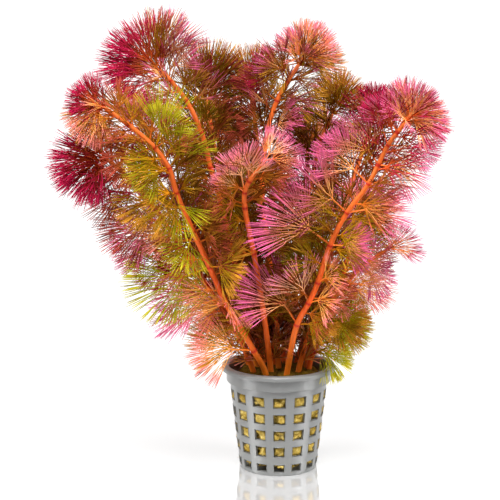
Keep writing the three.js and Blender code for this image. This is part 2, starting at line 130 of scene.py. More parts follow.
SHOOTS = {
    "a": Shoot(
        route=(
            (-4, -8, 37), (-7, -11, 50), (-12, -15, 60), (-26, -24, 87), (-32, -29, 102),
            (-39, -35, 119), (-46, -41, 137), (-49, -43, 148), (-55, -45, 157), (-66, -47, 167),
            (-77, -48, 175),
        ),
        whorls={
            2: ((205, 10, 34, ORANGE), (170, 10, 35, OLIVE)),
            3: ((190, -14, 37, PINK), (290, -10, 24, ORANGE)),
            4: ((183, -22, 42, GREEN), (300, 10, 30, OLIVE)),
            6: ((200, -10, 30, OLIVE), (245, -30, 30, OLIVE)),
            8: ((195, -15, 26, BROWN), (330, 60, 24, GREEN)),
        },
        crown=(
            (200, 10, 16, CRIMSON), (155, 50, 16, CRIMSON), (170, -35, 19, ORANGE),
            (215, -75, 20, ORANGE),
        ),
        small={
            3: ((200, 15, 28, GREEN),),
            5: ((255, -40, 26, GREEN), (310, 20, 24, BROWN), (175, 5, 26, ORANGE)),
            6: ((290, -50, 25, GREEN),),
            7: (
                (195, 5, 22, GREEN), (330, 55, 29, GREEN), (60, 30, 26, BROWN), (150, 20, 24, BROWN),
                (215, -20, 22, GREEN),
            ),
            8: ((100, 35, 24, BROWN), (340, 30, 20, BROWN), (322, 66, 32, GREEN)),
            9: ((215, -15, 15, BROWN), (165, 60, 22, BROWN), (300, 40, 16, OLIVE)),
            10: ((190, 28, 15, CRIMSON), (182, 0, 15, CRIMSON)),
        },
        filling=(ORANGE, BROWN, OLIVE, OLIVE, BROWN),
        bare=82,
    ),
    "b": Shoot(
        route=(
            (-9, -4, 37), (-13, -5, 50), (-20, -8, 68), (-34, -14, 91), (-44, -18, 107),
            (-53, -22, 122), (-66, -27, 140), (-77, -32, 151),
        ),
        whorls={
            4: ((190, -20, 28, BROWN), (180, 18, 37, PINK)),
            6: ((200, -15, 22, BROWN), (315, 45, 18, GREEN)),
        },
        crown=(
            (188, 0, 27, CRIMSON), (200, -30, 27, CRIMSON), (235, -55, 25, CRIMSON),
            (150, 45, 22, CRIMSON),
        ),
        small={
            2: ((150, 0, 26, OLIVE),),
            3: ((165, -20, 29, BROWN), (190, -5, 30, PINK)),
            5: ((185, 0, 34, BROWN), (120, 20, 24, OLIVE), (196, -14, 32, BROWN), (178, -24, 30, PINK)),
            6: ((160, 40, 22, BROWN), (198, -36, 28, BROWN)),
        },
        filling=(ORANGE, BROWN, PINK, CRIMSON),
        bare=78,
        low=(ORANGE, BROWN, PALE),
        further={4: ((130, -10, 32, OLIVE),), 6: ((110, 0, 28, BROWN),)},
    ),
    "c": Shoot(
        route=(
            (-9, 3, 37), (-11, 4, 50), (-16, 3, 71), (-21, 0, 99), (-27, -4, 127), (-32, -6, 145),
            (-36, -7, 161), (-43, -8, 176), (-50, -9, 185), (-55, -9, 190),
        ),
        whorls={
            4: ((215, 5, 24, BROWN), (300, 15, 26, OLIVE)),
            8: ((205, 0, 28, CRIMSON), (300, 60, 26, PINK)),
        },
        crown=(
            (190, 10, 30, CRIMSON), (200, 45, 28, CRIMSON), (145, 83, 30, BROWN),
            (33, 66, 31, PINK),
        ),
        small={
            3: ((200, 25, 26, BROWN), (320, 20, 22, OLIVE), (80, 20, 24, OLIVE)),
            4: ((192, 18, 25, OLIVE),),
            5: (
                (215, 35, 17, OLIVE), (315, 50, 23, BROWN), (90, 20, 24, OLIVE), (190, 8, 25, BROWN),
                (202, -18, 24, OLIVE),
            ),
            6: (
                (155, 55, 21, OLIVE), (195, 30, 24, OLIVE), (220, -5, 22, GREEN), (315, 40, 20, OLIVE),
                (280, 70, 20, GREEN),
            ),
            7: ((195, 15, 23, OLIVE), (300, 65, 20, OLIVE), (80, 30, 22, BROWN)),
            8: ((120, 40, 24, BROWN),),
            9: ((198, 20, 27, CRIMSON), (184, -12, 24, CRIMSON), (186, 34, 27, CRIMSON)),
        },
        filling=(BROWN, OLIVE, BROWN, BROWN, PINK),
        light=-0.1,
        bare=72,
        low=(ORANGE, BROWN, PALE),
        further={4: ((110, -20, 34, OLIVE),), 8: ((100, -25, 34, BROWN), (50, -10, 28, BROWN))},
    ),
    "d": Shoot(
        route=(
            (-3, -4, 37), (-4, -5, 50), (-7, -13, 75), (-12, -27, 108), (-16, -36, 130),
            (-16, -39, 137), (-14, -41, 142), (-8, -43, 150),
        ),
        whorls={5: ((245, 65, 28, PALE), (205, 35, 19, PALE))},
        crown=((150, 80, 17, PINK), (335, 60, 19, PALE), (350, 15, 19, PINK)),
        small={
            3: ((215, 25, 20, OLIVE), (330, 30, 20, OLIVE)),
            4: ((205, 15, 19, OLIVE), (115, 70, 23, OLIVE)),
            6: ((340, 20, 24, BROWN), (240, 80, 19, PALE), (310, 50, 18, PALE)),
        },
        filling=(OLIVE, BROWN, OLIVE, BROWN),
        bare=75,
        low=(ORANGE, BROWN),
        young=0,
        open_crown=True,
        light=0.4,
    ),
    "e": Shoot(
        route=(
            (2, -10, 37), (4, -12, 50), (8, -22, 74), (13, -27, 85), (17, -30, 95),
            (22, -36, 113), (29, -40, 128), (38, -43, 141), (46, -45, 158), (54, -46, 169),
        ),
        whorls={
            2: ((220, 53, 44, PINK), (325, 10, 22, OLIVE)),
            5: ((208, 38, 44, PINK), (325, 5, 24, PINK)),
            7: ((185, 45, 32, PINK), (20, 10, 21, PINK)),
            8: ((200, 70, 26, CRIMSON), (345, 0, 25, PINK)),
        },
        crown=(
            (150, 75, 20, PINK), (345, 60, 18, PINK), (5, 15, 18, PINK), (345, -25, 20, PINK),
        ),
        small={
            2: ((205, 60, 36, PINK),),
            3: ((235, 55, 30, PALE), (310, 20, 24, ORANGE)),
            4: ((150, 62, 25, GREEN), (185, 62, 24, GREEN), (305, 30, 23, ORANGE)),
            5: ((70, 65, 22, PINK),),
            6: ((210, 40, 38, PINK), (349, 12, 32, PINK), (190, 20, 34, PINK)),
            7.5: ((200, 55, 30, PINK), (338, -5, 27, PINK), (40, 15, 23, OLIVE)),
            8.5: (
                (185, 60, 22, PINK), (120, 60, 24, CRIMSON), (20, 40, 22, ORANGE), (60, 20, 24, BROWN),
                (140, 20, 24, BROWN), (165, 0, 24, OLIVE),
            ),
            9: ((215, 45, 19, PINK), (250, 10, 17, PINK)),
        },
        filling=(BROWN, OLIVE, BROWN, CRIMSON),
        bare=80,
    ),
    "h": Shoot(
        route=(
            (1, 2, 37), (0, 2, 50), (-1, 4, 71), (-5, 6, 104), (-8, 8, 133), (-5, 10, 162),
            (-1, 11, 175), (4, 11, 184), (10, 12, 193),
        ),
        whorls={
            4: ((75, 25, 26, OLIVE), (265, 10, 24, BROWN)),
            5: ((310, 25, 25, PINK), (215, 25, 20, BROWN)),
        },
        crown=(
            (200, 60, 19, PINK), (325, 75, 22, ORANGE), (0, 40, 22, PALE), (345, 0, 21, ORANGE),
        ),
        small={
            2: ((290, 30, 20, OLIVE), (200, 30, 20, ORANGE)),
            3: ((260, 30, 22, BROWN), (330, 20, 22, OLIVE)),
            4: ((220, 35, 27, BROWN), (320, 15, 23, BROWN)),
            6: ((345, 10, 26, OLIVE), (185, 40, 26, BROWN), (60, 20, 22, OLIVE)),
            7: ((205, 60, 24, PINK), (350, 15, 22, OLIVE), (80, 40, 18, ORANGE), (185, 25, 24, CRIMSON)),
            8: (
                (250, 30, 15, ORANGE), (300, 20, 15, PINK), (352, -12, 24, OLIVE), (20, 20, 18, OLIVE),
                (160, 15, 23, BROWN), (195, -10, 23, OLIVE),
            ),
        },
        filling=(ORANGE, BROWN, OLIVE, BROWN, PINK),
        bare=68,
        low=(ORANGE, BROWN, PALE),
        light=0.35,
        further={4: ((140, -30, 32, BROWN), (20, -30, 32, BROWN)), 5: ((100, 5, 30, OLIVE),)},
    ),
    "j": Shoot(
        route=(
            (8, -3, 37), (10, -4, 50), (16, -8, 70), (22, -11, 78), (25, -13, 84), (31, -16, 92),
            (37, -19, 100), (49, -23, 109),
        ),
        whorls={
            3: ((350, -5, 22, OLIVE), (315, -30, 24, OLIVE)),
            6: ((310, -10, 22, PINK), (150, 70, 22, PINK)),
        },
        crown=((20, 50, 15, PINK), (355, 15, 16, PINK), (335, -15, 18, PINK)),
        small={
            4: ((300, 10, 20, ORANGE),),
            5: ((350, 0, 25, ORANGE), (320, -20, 24, ORANGE)),
            6: ((330, 25, 20, PINK),),
        },
        filling=(ORANGE, GREEN, ORANGE, PINK),
        bare=200,
        low=(ORANGE, GREEN, PALE),
        young=2,
        open_crown=True,
    ),
    "k": Shoot(
        route=(
            (12, 3, 37), (14, 4, 50), (18, 7, 65), (30, 12, 85), (33, 14, 96), (36, 16, 107),
            (40, 18, 116),
        ),
        whorls={3: ((345, 20, 22, PINK), (205, 35, 27, OLIVE))},
        crown=(
            (340, 5, 17, BROWN), (340, 60, 21, PINK), (240, 65, 25, PINK), (15, 25, 25, PINK),
        ),
        small={
            2: ((20, 5, 24, GREEN),),
            4: ((0, 0, 23, PINK), (30, -20, 19, ORANGE), (80, 20, 22, OLIVE)),
            5: ((0, 10, 24, BROWN), (90, 30, 22, BROWN)),
        },
        filling=(ORANGE, OLIVE, PINK),
        light=0.3,
        bare=84,
        low=(ORANGE, BROWN, PALE),
    ),
    "l": Shoot(
        route=((14, -1, 37), (15, 0, 50), (17, 0, 56), (21, 0, 63), (24, 0, 67)),
        whorls={2: ((306, 3, 30, GREEN), (348, -16, 21, GREEN))},
        crown=((345, 0, 22, GREEN), (10, 30, 23, GREEN), (325, -12, 21, GREEN)),
        small={
            2: ((290, 25, 22, GREEN), (30, 0, 22, GREEN)),
            3: ((330, 20, 20, GREEN),),
            4: ((355, 15, 20, PALE),),
        },
        filling=(GREEN,),
        bare=60,
        young=3,
        light=0.8,
    ),
    "g": Shoot(
        route=((-6, 10, 37), (-8, 12, 50), (-13, 16, 73), (-24, 24, 111), (-31, 32, 150), (-35, 36, 175)),
        whorls={},
        crown=(
            (180, 75, 23, OLIVE), (300, 80, 30, OLIVE), (10, 70, 32, OLIVE), (0, 50, 28, CRIMSON),
        ),
        small={
            2: ((140, 10, 24, OLIVE), (220, 10, 24, ORANGE)),
            3: ((150, 10, 26, OLIVE), (260, 25, 26, BROWN), (30, 20, 24, OLIVE)),
            4: ((165, 0, 20, OLIVE), (355, 30, 22, BROWN), (90, 10, 24, OLIVE), (260, 30, 22, BROWN)),
            4.5: ((0, 25, 24, CRIMSON), (30, 0, 24, BROWN), (330, 0, 22, BROWN)),
        },
        filling=(BROWN, OLIVE, BROWN, OLIVE, OLIVE),
        spacing=7.2,
        light=-0.25,
        further={5: ((255, -25, 28, OLIVE),)},
    ),
    "i": Shoot(
        route=((-2, 9, 37), (-2, 11, 50), (-4, 22, 87), (-8, 34, 130), (-11, 42, 162), (-13, 45, 175)),
        whorls={3: ((95, 20, 26, BROWN), (265, 15, 24, OLIVE))},
        crown=(
            (205, 70, 20, BROWN), (70, 80, 29, OLIVE), (340, 70, 28, OLIVE), (155, 25, 18, CRIMSON),
        ),
        small={
            2: ((100, 10, 24, OLIVE), (280, 30, 22, ORANGE), (190, 20, 24, BROWN)),
            3: ((185, 20, 26, OLIVE), (0, 15, 26, BROWN)),
            4: ((190, 55, 23, CRIMSON), (15, 40, 25, OLIVE), (100, 10, 24, BROWN)),
            4.5: ((185, 30, 24, BROWN), (355, 30, 24, BROWN), (275, 50, 22, CRIMSON), (25, 5, 24, BROWN)),
        },
        filling=(ORANGE, BROWN, BROWN, OLIVE),
        spacing=7.2,
        further={3: ((180, -30, 32, OLIVE), (0, -30, 32, BROWN))},
    ),
    "n": Shoot(
        route=((4, 9, 37), (5, 11, 50), (8, 20, 77), (14, 34, 120), (22, 44, 154), (28, 47, 168)),
        whorls={4: ((175, 40, 23, OLIVE), (350, 20, 17, BROWN))},
        crown=(
            (355, 65, 23, OLIVE), (110, 80, 21, OLIVE), (350, 35, 20, OLIVE), (220, 55, 19, OLIVE),
        ),
        small={
            2: ((40, 10, 24, OLIVE), (300, 20, 24, ORANGE)),
            3: ((60, 10, 26, OLIVE), (335, 15, 26, BROWN), (250, 20, 26, BROWN)),
            4: ((80, 10, 22, OLIVE), (290, 20, 24, OLIVE), (185, 10, 26, BROWN)),
            4.5: ((180, 35, 26, OLIVE), (200, 5, 26, BROWN), (265, 40, 20, BROWN), (350, 10, 22, OLIVE)),
        },
        filling=(BROWN, OLIVE, BROWN, OLIVE),
        spacing=7.2,
        further={4: ((80, -30, 30, BROWN), (300, -15, 28, OLIVE))},
    ),
    "q": Shoot(
        route=(
            (-12, 8, 37), (-15, 10, 50), (-22, 14, 70), (-38, 22, 107), (-55, 30, 141), (-66, 34, 162),
        ),
        whorls={3: ((205, -30, 27, OLIVE), (60, 30, 22, BROWN))},
        crown=(
            (210, 50, 14, PINK), (180, 80, 17, PINK), (170, 35, 26, OLIVE), (10, 55, 18, BROWN),
        ),
        small={
            2: ((190, -5, 26, OLIVE), (100, 20, 24, ORANGE)),
            3: ((180, 5, 26, BROWN), (290, 20, 24, OLIVE)),
            3.5: ((150, 10, 24, OLIVE), (270, 20, 22, BROWN)),
            4: ((180, 25, 21, OLIVE), (50, 70, 23, BROWN), (290, 10, 20, OLIVE)),
        },
        filling=(ORANGE, BROWN, OLIVE, BROWN),
        spacing=7.2,
        further={
            3: ((120, -20, 34, OLIVE), (50, -15, 30, BROWN), (70, -50, 36, BROWN)),
            5: ((100, -50, 28, OLIVE), (230, -45, 27, BROWN)),
        },
    ),
    "r": Shoot(
        route=((8, 12, 37), (10, 14, 50), (20, 19, 78), (32, 26, 121), (42, 32, 150), (47, 34, 166)),
        whorls={3: ((0, 5, 22, BROWN), (175, 30, 19, OLIVE))},
        crown=(
            (235, 80, 18, CRIMSON), (20, 70, 17, CRIMSON), (180, 50, 16, BROWN), (20, 30, 16, PINK),
        ),
        small={
            2: ((350, 10, 24, OLIVE), (70, 20, 24, ORANGE)),
            2.5: ((340, 20, 26, BROWN), (90, 10, 26, OLIVE), (220, 30, 22, BROWN)),
            3: ((270, 20, 24, BROWN), (80, 20, 24, OLIVE)),
            4: ((355, 0, 19, PINK), (170, 45, 20, BROWN), (270, 20, 22, CRIMSON), (90, 10, 22, OLIVE)),
        },
        filling=(ORANGE, BROWN, BROWN, CRIMSON),
        spacing=7.2,
        further={3: ((65, -25, 34, BROWN), (270, -10, 30, OLIVE), (330, -45, 32, OLIVE))},
    ),
    "t": Shoot(
        route=((-4, 15, 37), (-6, 18, 50), (-14, 30, 75), (-25, 52, 123), (-30, 62, 153)),
        whorls={3: ((155, -5, 26, OLIVE), (60, 20, 24, ORANGE))},
        crown=(
            (145, 55, 25, PINK), (65, 80, 26, ORANGE), (35, 40, 23, PINK), (90, -5, 28, CRIMSON),
        ),
        small={
            2: ((120, 10, 26, OLIVE), (210, 10, 24, ORANGE), (30, 10, 22, OLIVE)),
            2.5: ((100, 0, 26, BROWN), (190, 10, 26, OLIVE)),
            3: ((240, 15, 24, BROWN),),
            3.5: ((120, 5, 24, PINK), (0, 15, 24, OLIVE), (220, 20, 22, BROWN)),
        },
        filling=(ORANGE, OLIVE, BROWN, PINK),
        further={3: ((110, -45, 36, BROWN), (215, -40, 34, OLIVE), (0, -35, 32, BROWN))},
    ),
    "u": Shoot(
        route=((2, 15, 37), (3, 18, 50), (8, 30, 75), (14, 54, 118), (16, 64, 148)),
        whorls={3: ((30, 10, 26, OLIVE), (125, 20, 26, ORANGE))},
        crown=(
            (170, 60, 24, ORANGE), (45, 75, 26, PINK), (30, 25, 22, PINK), (85, -5, 28, CRIMSON),
        ),
        small={
            2: ((60, 10, 26, OLIVE), (330, 10, 24, ORANGE), (150, 10, 22, OLIVE)),
            2.5: ((80, 0, 26, BROWN), (350, 10, 26, OLIVE)),
            3: ((300, 15, 24, BROWN),),
            3.5: ((60, 5, 24, PINK), (180, 15, 24, OLIVE), (320, 20, 22, BROWN)),
        },
        filling=(ORANGE, OLIVE, BROWN, PINK),
        further={3: ((75, -45, 36, BROWN), (340, -35, 32, OLIVE))},
    ),
}


def linear(code: int) -> tuple[float, float, float, float]:
    """A six-digit web colour as the linear colour that a shader takes.

    Args:
        code: The colour as 0xRRGGBB.

    Returns:
        Red, green, blue and an alpha of one.
    """
    channels = [(code >> shift & 0xFF) / 255 for shift in (16, 8, 0)]
    red, green, blue = [c / 12.92 if c <= 0.04045 else ((c + 0.055) / 1.055) ** 2.4 for c in channels]
    return red, green, blue, 1.0


def unit(vector: np.ndarray) -> np.ndarray:
    """The vector at a length of one."""
    return vector / np.linalg.norm(vector)


# Finishes.


def add_node(
    tree: Tree, kind: str, inputs: dict[str | int, object] | None = None, **settings: object
) -> bpy.types.Node:
    """Adds a node and fills its inputs.

    Args:
        tree: The tree.
        kind: The node's type.
        inputs: What its inputs get, by name or number: a socket is linked, a value is set.
        **settings: Properties of the node, which are set first.

    Returns:
        The new node.
    """
    node = tree.nodes.new(kind)
    for key, value in settings.items():
        setattr(node, key, value)
    for key, value in (inputs or {}).items():
        if isinstance(value, Socket):
            tree.links.new(value, node.inputs[key])
        else:
            node.inputs[key].default_value = value
    return node


@dataclass(frozen=True)
class Noise:
    """A noise over an object's own coordinates.

    Attributes:
        scale: Waves per metre.
        detail: Number of finer layers.
        roughness: Strength of the finer layers.
        distortion: How far the noise is warped.
        stretch: Scale of the coordinates along each axis.
    """

    scale: float
    detail: float
    roughness: float = 0.5
    distortion: float = 0.0
    stretch: Point = (1, 1, 1)

    def socket(self, tree: Tree) -> Socket:
        """Adds the noise to a material.

        Args:
            tree: The material's tree.

        Returns:
            The socket that gives it.
        """
        where = add_node(tree, "ShaderNodeTexCoord").outputs["Object"]
        mapping = add_node(tree, "ShaderNodeMapping", {"Scale": self.stretch, "Vector": where})
        inputs = {
            "Scale": self.scale, "Detail": self.detail, "Roughness": self.roughness,
            "Distortion": self.distortion, "Vector": mapping.outputs["Vector"],
        }
        return add_node(tree, "ShaderNodeTexNoise", inputs).outputs["Fac"]


@dataclass(frozen=True)
class ThreadFinish:
    """The colours of a leaf from its stalk to its tips.

    Attributes:
        name: The material's name.
        stalk: Colour of the stalk.
        base: Colour of the threads where they leave the stalk.
        blade: Colour halfway along the threads.
        tip: Colour of the flattened tips.
    """

    name: str
    stalk: int
    base: int
    blade: int
    tip: int

    STOPS = (0.12, 0.46, 0.7, 0.88)
    # Painted shade: the tone darkens leaves deep in the bunch towards this tint and lowers their value.
    SHADE_TINT = 0xA6864C
    LIT = 0xFFFFFF
    SHADE_STOPS = (0.0, 0.9)
    VALUE_SPREAD = (0.7, 1.5)
    ROUGHNESS = 0.55
    SHINE = 0.04

    def material(self) -> bpy.types.Material:
        """Builds the material.

        Returns:
            A material that reads the reach and tone attributes of the threads.
        """
        material, tree, surface = blank_material(self.name, self.ROUGHNESS, self.SHINE)
        colours = (self.stalk, self.base, self.blade, self.tip)
        along = ramped(tree, attribute(tree, "reach"), self.STOPS, colours)
        # The tone is painted shade: threads deep in the bunch come out darker.
        tone = attribute(tree, "tone")
        depth = ramped(tree, tone, self.SHADE_STOPS, (self.SHADE_TINT, self.LIT))
        colour = shaded(tree, mixed(tree, "MULTIPLY", 1.0, along, depth), tone, self.VALUE_SPREAD)
        tree.links.new(colour, surface.inputs["Base Color"])
        return material


@dataclass(frozen=True)
class StemFinish:
    """The skin of the stems, with a red ring at every joint.

    Attributes:
        name: The material's name.
        foot: Colour where the stem leaves the wool.
        middle: Colour of the lower half.
        top: Colour near the tip.
        ring: Colour of the joints.
    """

    name: str
    foot: int
    middle: int
    top: int
    ring: int

    STOPS = (0.05, 0.3, 0.9)
    STREAKS = Noise(900, 3, stretch=(1, 1, 0.08))
    VALUE_SPREAD = (0.75, 1.2)
    ROUGHNESS = 0.42
    SHINE = 0.2

    def material(self) -> bpy.types.Material:
        """Builds the material.

        Returns:
            A material that reads the reach and ring attributes of the stems.
        """
        material, tree, surface = blank_material(self.name, self.ROUGHNESS, self.SHINE)
        along = ramped(tree, attribute(tree, "reach"), self.STOPS, (self.foot, self.middle, self.top))
        skin = shaded(tree, along, self.STREAKS.socket(tree), self.VALUE_SPREAD)
        colour = mixed(tree, "MIX", attribute(tree, "ring"), skin, linear(self.ring))
        tree.links.new(colour, surface.inputs["Base Color"])
        return material


@dataclass(frozen=True)
class PlasticFinish:
    """Satin moulded plastic with a very fine grain.

    Attributes:
        name: The material's name.
        colour: The plastic's colour.
        roughness: Roughness of the satin skin.
    """

    name: str
    colour: int
    roughness: float

    MOTTLE = Noise(60, 2)
    VALUE_SPREAD = (0.97, 1.03)
    SKIN = Noise(2500, 1)
    BUMP_STRENGTH = 0.06
    BUMP_DEPTH = 0.05 * MM
    SHINE = 0.5

    def material(self) -> bpy.types.Material:
        """Builds the material.

        Returns:
            A grey plastic, a little mottled, with a faint bump.
        """
        material, tree, surface = blank_material(self.name, self.roughness, self.SHINE)
        colour = shaded(tree, linear(self.colour), self.MOTTLE.socket(tree), self.VALUE_SPREAD)
        tree.links.new(colour, surface.inputs["Base Color"])
        normal = bumped(tree, self.SKIN.socket(tree), self.BUMP_STRENGTH, self.BUMP_DEPTH)
        tree.links.new(normal, surface.inputs["Normal"])
        return material


@dataclass(frozen=True)
class WoolFinish:
    """Mineral wool: golden fibres over dark olive hollows of painted shade.

    Attributes:
        name: The material's name.
        hollow_shade: Colour of the hollows, which is painted shade.
        body: Colour of most of the wool.
        light: Colour of the fibres that catch the light, which is a painted highlight.
        top_shade: Tint of the painted shade on the top, under the leaves.
        top_shade_heights: Heights between which the painted shade darkens the wool.
    """

    name: str
    hollow_shade: int
    body: int
    light: int
    top_shade: int = 0x9A8A48
    top_shade_heights: tuple[float, float] = (42 * MM, 46 * MM)

    PATCHES = Noise(170, 8, roughness=0.72, distortion=1.2)
    STOPS = (0.3, 0.47, 0.68)
    FIBRES = Noise(1400, 4, distortion=2.5)
    BUMP_STRENGTH = 0.7
    BUMP_DEPTH = 0.3 * MM
    ROUGHNESS = 0.95
    SHINE = 0.15

    def material(self) -> bpy.types.Material:
        """Builds the material.

        Returns:
            A rough patchy material with a fibrous bump.
        """
        material, tree, surface = blank_material(self.name, self.ROUGHNESS, self.SHINE)
        # Painted shade in the hollows and a painted highlight on the fibres, laid out by a noise.
        patches = ramped(tree, self.PATCHES.socket(tree), self.STOPS, (self.hollow_shade, self.body, self.light))
        # Painted shade: the top is darker, under the leaves.
        top_shade = risen(tree, "Object", "Z", self.top_shade_heights)
        colour = mixed(tree, "MULTIPLY", top_shade, patches, linear(self.top_shade))
        tree.links.new(colour, surface.inputs["Base Color"])
        normal = bumped(tree, self.FIBRES.socket(tree), self.BUMP_STRENGTH, self.BUMP_DEPTH)
        tree.links.new(normal, surface.inputs["Normal"])
        return material


def blank_material(
    name: str, roughness: float, shine: float
) -> tuple[bpy.types.Material, Tree, bpy.types.Node]:
    """Starts a material with a lone surface shader.

    Args:
        name: The material's name.
        roughness: The surface's roughness.
        shine: Strength of its highlight, where 0.5 is the shader's usual one.

    Returns:
        The material, its tree and its surface shader.
    """
    material = bpy.data.materials.new(name)
    material.use_nodes = True
    surface = material.node_tree.nodes["Principled BSDF"]
    surface.inputs["Roughness"].default_value = roughness
    surface.inputs["Specular IOR Level"].default_value = shine
    return material, material.node_tree, surface


def attribute(tree: Tree, name: str) -> Socket:
    """The socket that reads a mesh attribute in a material."""
    return add_node(tree, "ShaderNodeAttribute", attribute_name=name).outputs["Fac"]


def ramped(tree: Tree, source: Socket, places: Sequence[float], colours: Sequence[int]) -> Socket:
    """Adds a colour ramp.

    Args:
        tree: The tree.
        source: The value that runs along the ramp.
        places: Place of each stop, in order.
        colours: Web colour of each stop.

    Returns:
        The socket that gives the colour.
    """
    node = add_node(tree, "ShaderNodeValToRGB", {"Fac": source})
    elements = node.color_ramp.elements
    while len(elements) < len(places):
        elements.new(1.0)
    for element, place, colour in zip(elements, places, colours):
        element.position = place
        element.color = linear(colour)
    return node.outputs["Color"]


def mixed(tree: Tree, blend: str, factor: Source, first: Source, second: Source) -> Socket:
    """Mixes two colours."""
    inputs = dict(zip(MIX_INPUTS, (factor, first, second)))
    return add_node(tree, "ShaderNodeMix", inputs, data_type="RGBA", blend_type=blend).outputs[MIX_RESULT]


def shaded(tree: Tree, colour: Source, source: Socket, spread: tuple[float, float]) -> Socket:
    """Makes a colour darker or lighter.

    Args:
        tree: The tree.
        colour: The colour.
        source: A value from 0 to 1 that drives it.
        spread: What the colour's value is multiplied by at 0 and at 1.

    Returns:
        The socket that gives the colour.
    """
    low, high = spread
    value = add_node(tree, "ShaderNodeMapRange", {"To Min": low, "To Max": high, "Value": source})
    inputs = {"Color": colour, "Value": value.outputs["Result"]}
    return add_node(tree, "ShaderNodeHueSaturation", inputs).outputs["Color"]


def bumped(tree: Tree, height: Socket, strength: float, depth: float) -> Socket:
    """Adds a bump."""
    inputs = {"Strength": strength, "Distance": depth, "Height": height}
    return add_node(tree, "ShaderNodeBump", inputs).outputs["Normal"]


def risen(tree: Tree, coordinates: str, axis: str, span: tuple[float, float]) -> Socket:
    """Adds a value that rises from 0 to 1 along an axis.

    Args:
        tree: The tree of the material or the world.
        coordinates: Which coordinates it reads, by the name of their socket.
        axis: The axis, X, Y or Z.
        span: Where it is 0 and where it is 1.

    Returns:
        The socket that gives the value.
    """
    low, high = span
    where = add_node(tree, "ShaderNodeTexCoord").outputs[coordinates]
    part = add_node(tree, "ShaderNodeSeparateXYZ", {"Vector": where}).outputs[axis]
    inputs = {"From Min": low, "From Max": high, "Value": part}
    return add_node(tree, "ShaderNodeMapRange", inputs).outputs["Result"]


THREAD_FINISHES = {
    CRIMSON: ThreadFinish("Crimson leaf", 0xCC5428, 0x9C4018, 0x9C2030, 0xB01C48),
    PINK: ThreadFinish("Pink leaf", 0xF07C38, 0xE4A462, 0xC86C68, 0xCC5E88),
    PALE: ThreadFinish("Pale leaf", 0xF09458, 0xF4C494, 0xECA488, 0xE4869C),
    ORANGE: ThreadFinish("Orange leaf", 0xEC7A2C, 0xE4A44C, 0xE09858, 0xE4847C),
    BROWN: ThreadFinish("Brown leaf", 0xC86420, 0xA4661C, 0x985020, 0xA84838),
    OLIVE: ThreadFinish("Olive leaf", 0xC07014, 0xA47E0E, 0x94720C, 0xB88028),
    GREEN: ThreadFinish("Green leaf", 0xC08810, 0x9C980C, 0x94940C, 0xB0A824),
}
STEM_FINISH = StemFinish("Stem skin", 0xC8701A, 0xF2601A, 0xF27A34, 0xC01418)
POT_FINISH = PlasticFinish("Pot plastic", 0x757675, 0.34)
WOOL_FINISH = WoolFinish("Mineral wool", 0x2A2004, 0xA48838, 0xDCC87C)


def add_object(name: str, data: bpy.types.ID) -> bpy.types.Object:
    """Puts a new object in the scene.

    Args:
        name: The object's name.
        data: Its mesh, light or camera.

    Returns:
        The object.
    """
    obj = bpy.data.objects.new(name, data)
    bpy.context.collection.objects.link(obj)
    return obj


# Geometry Nodes.


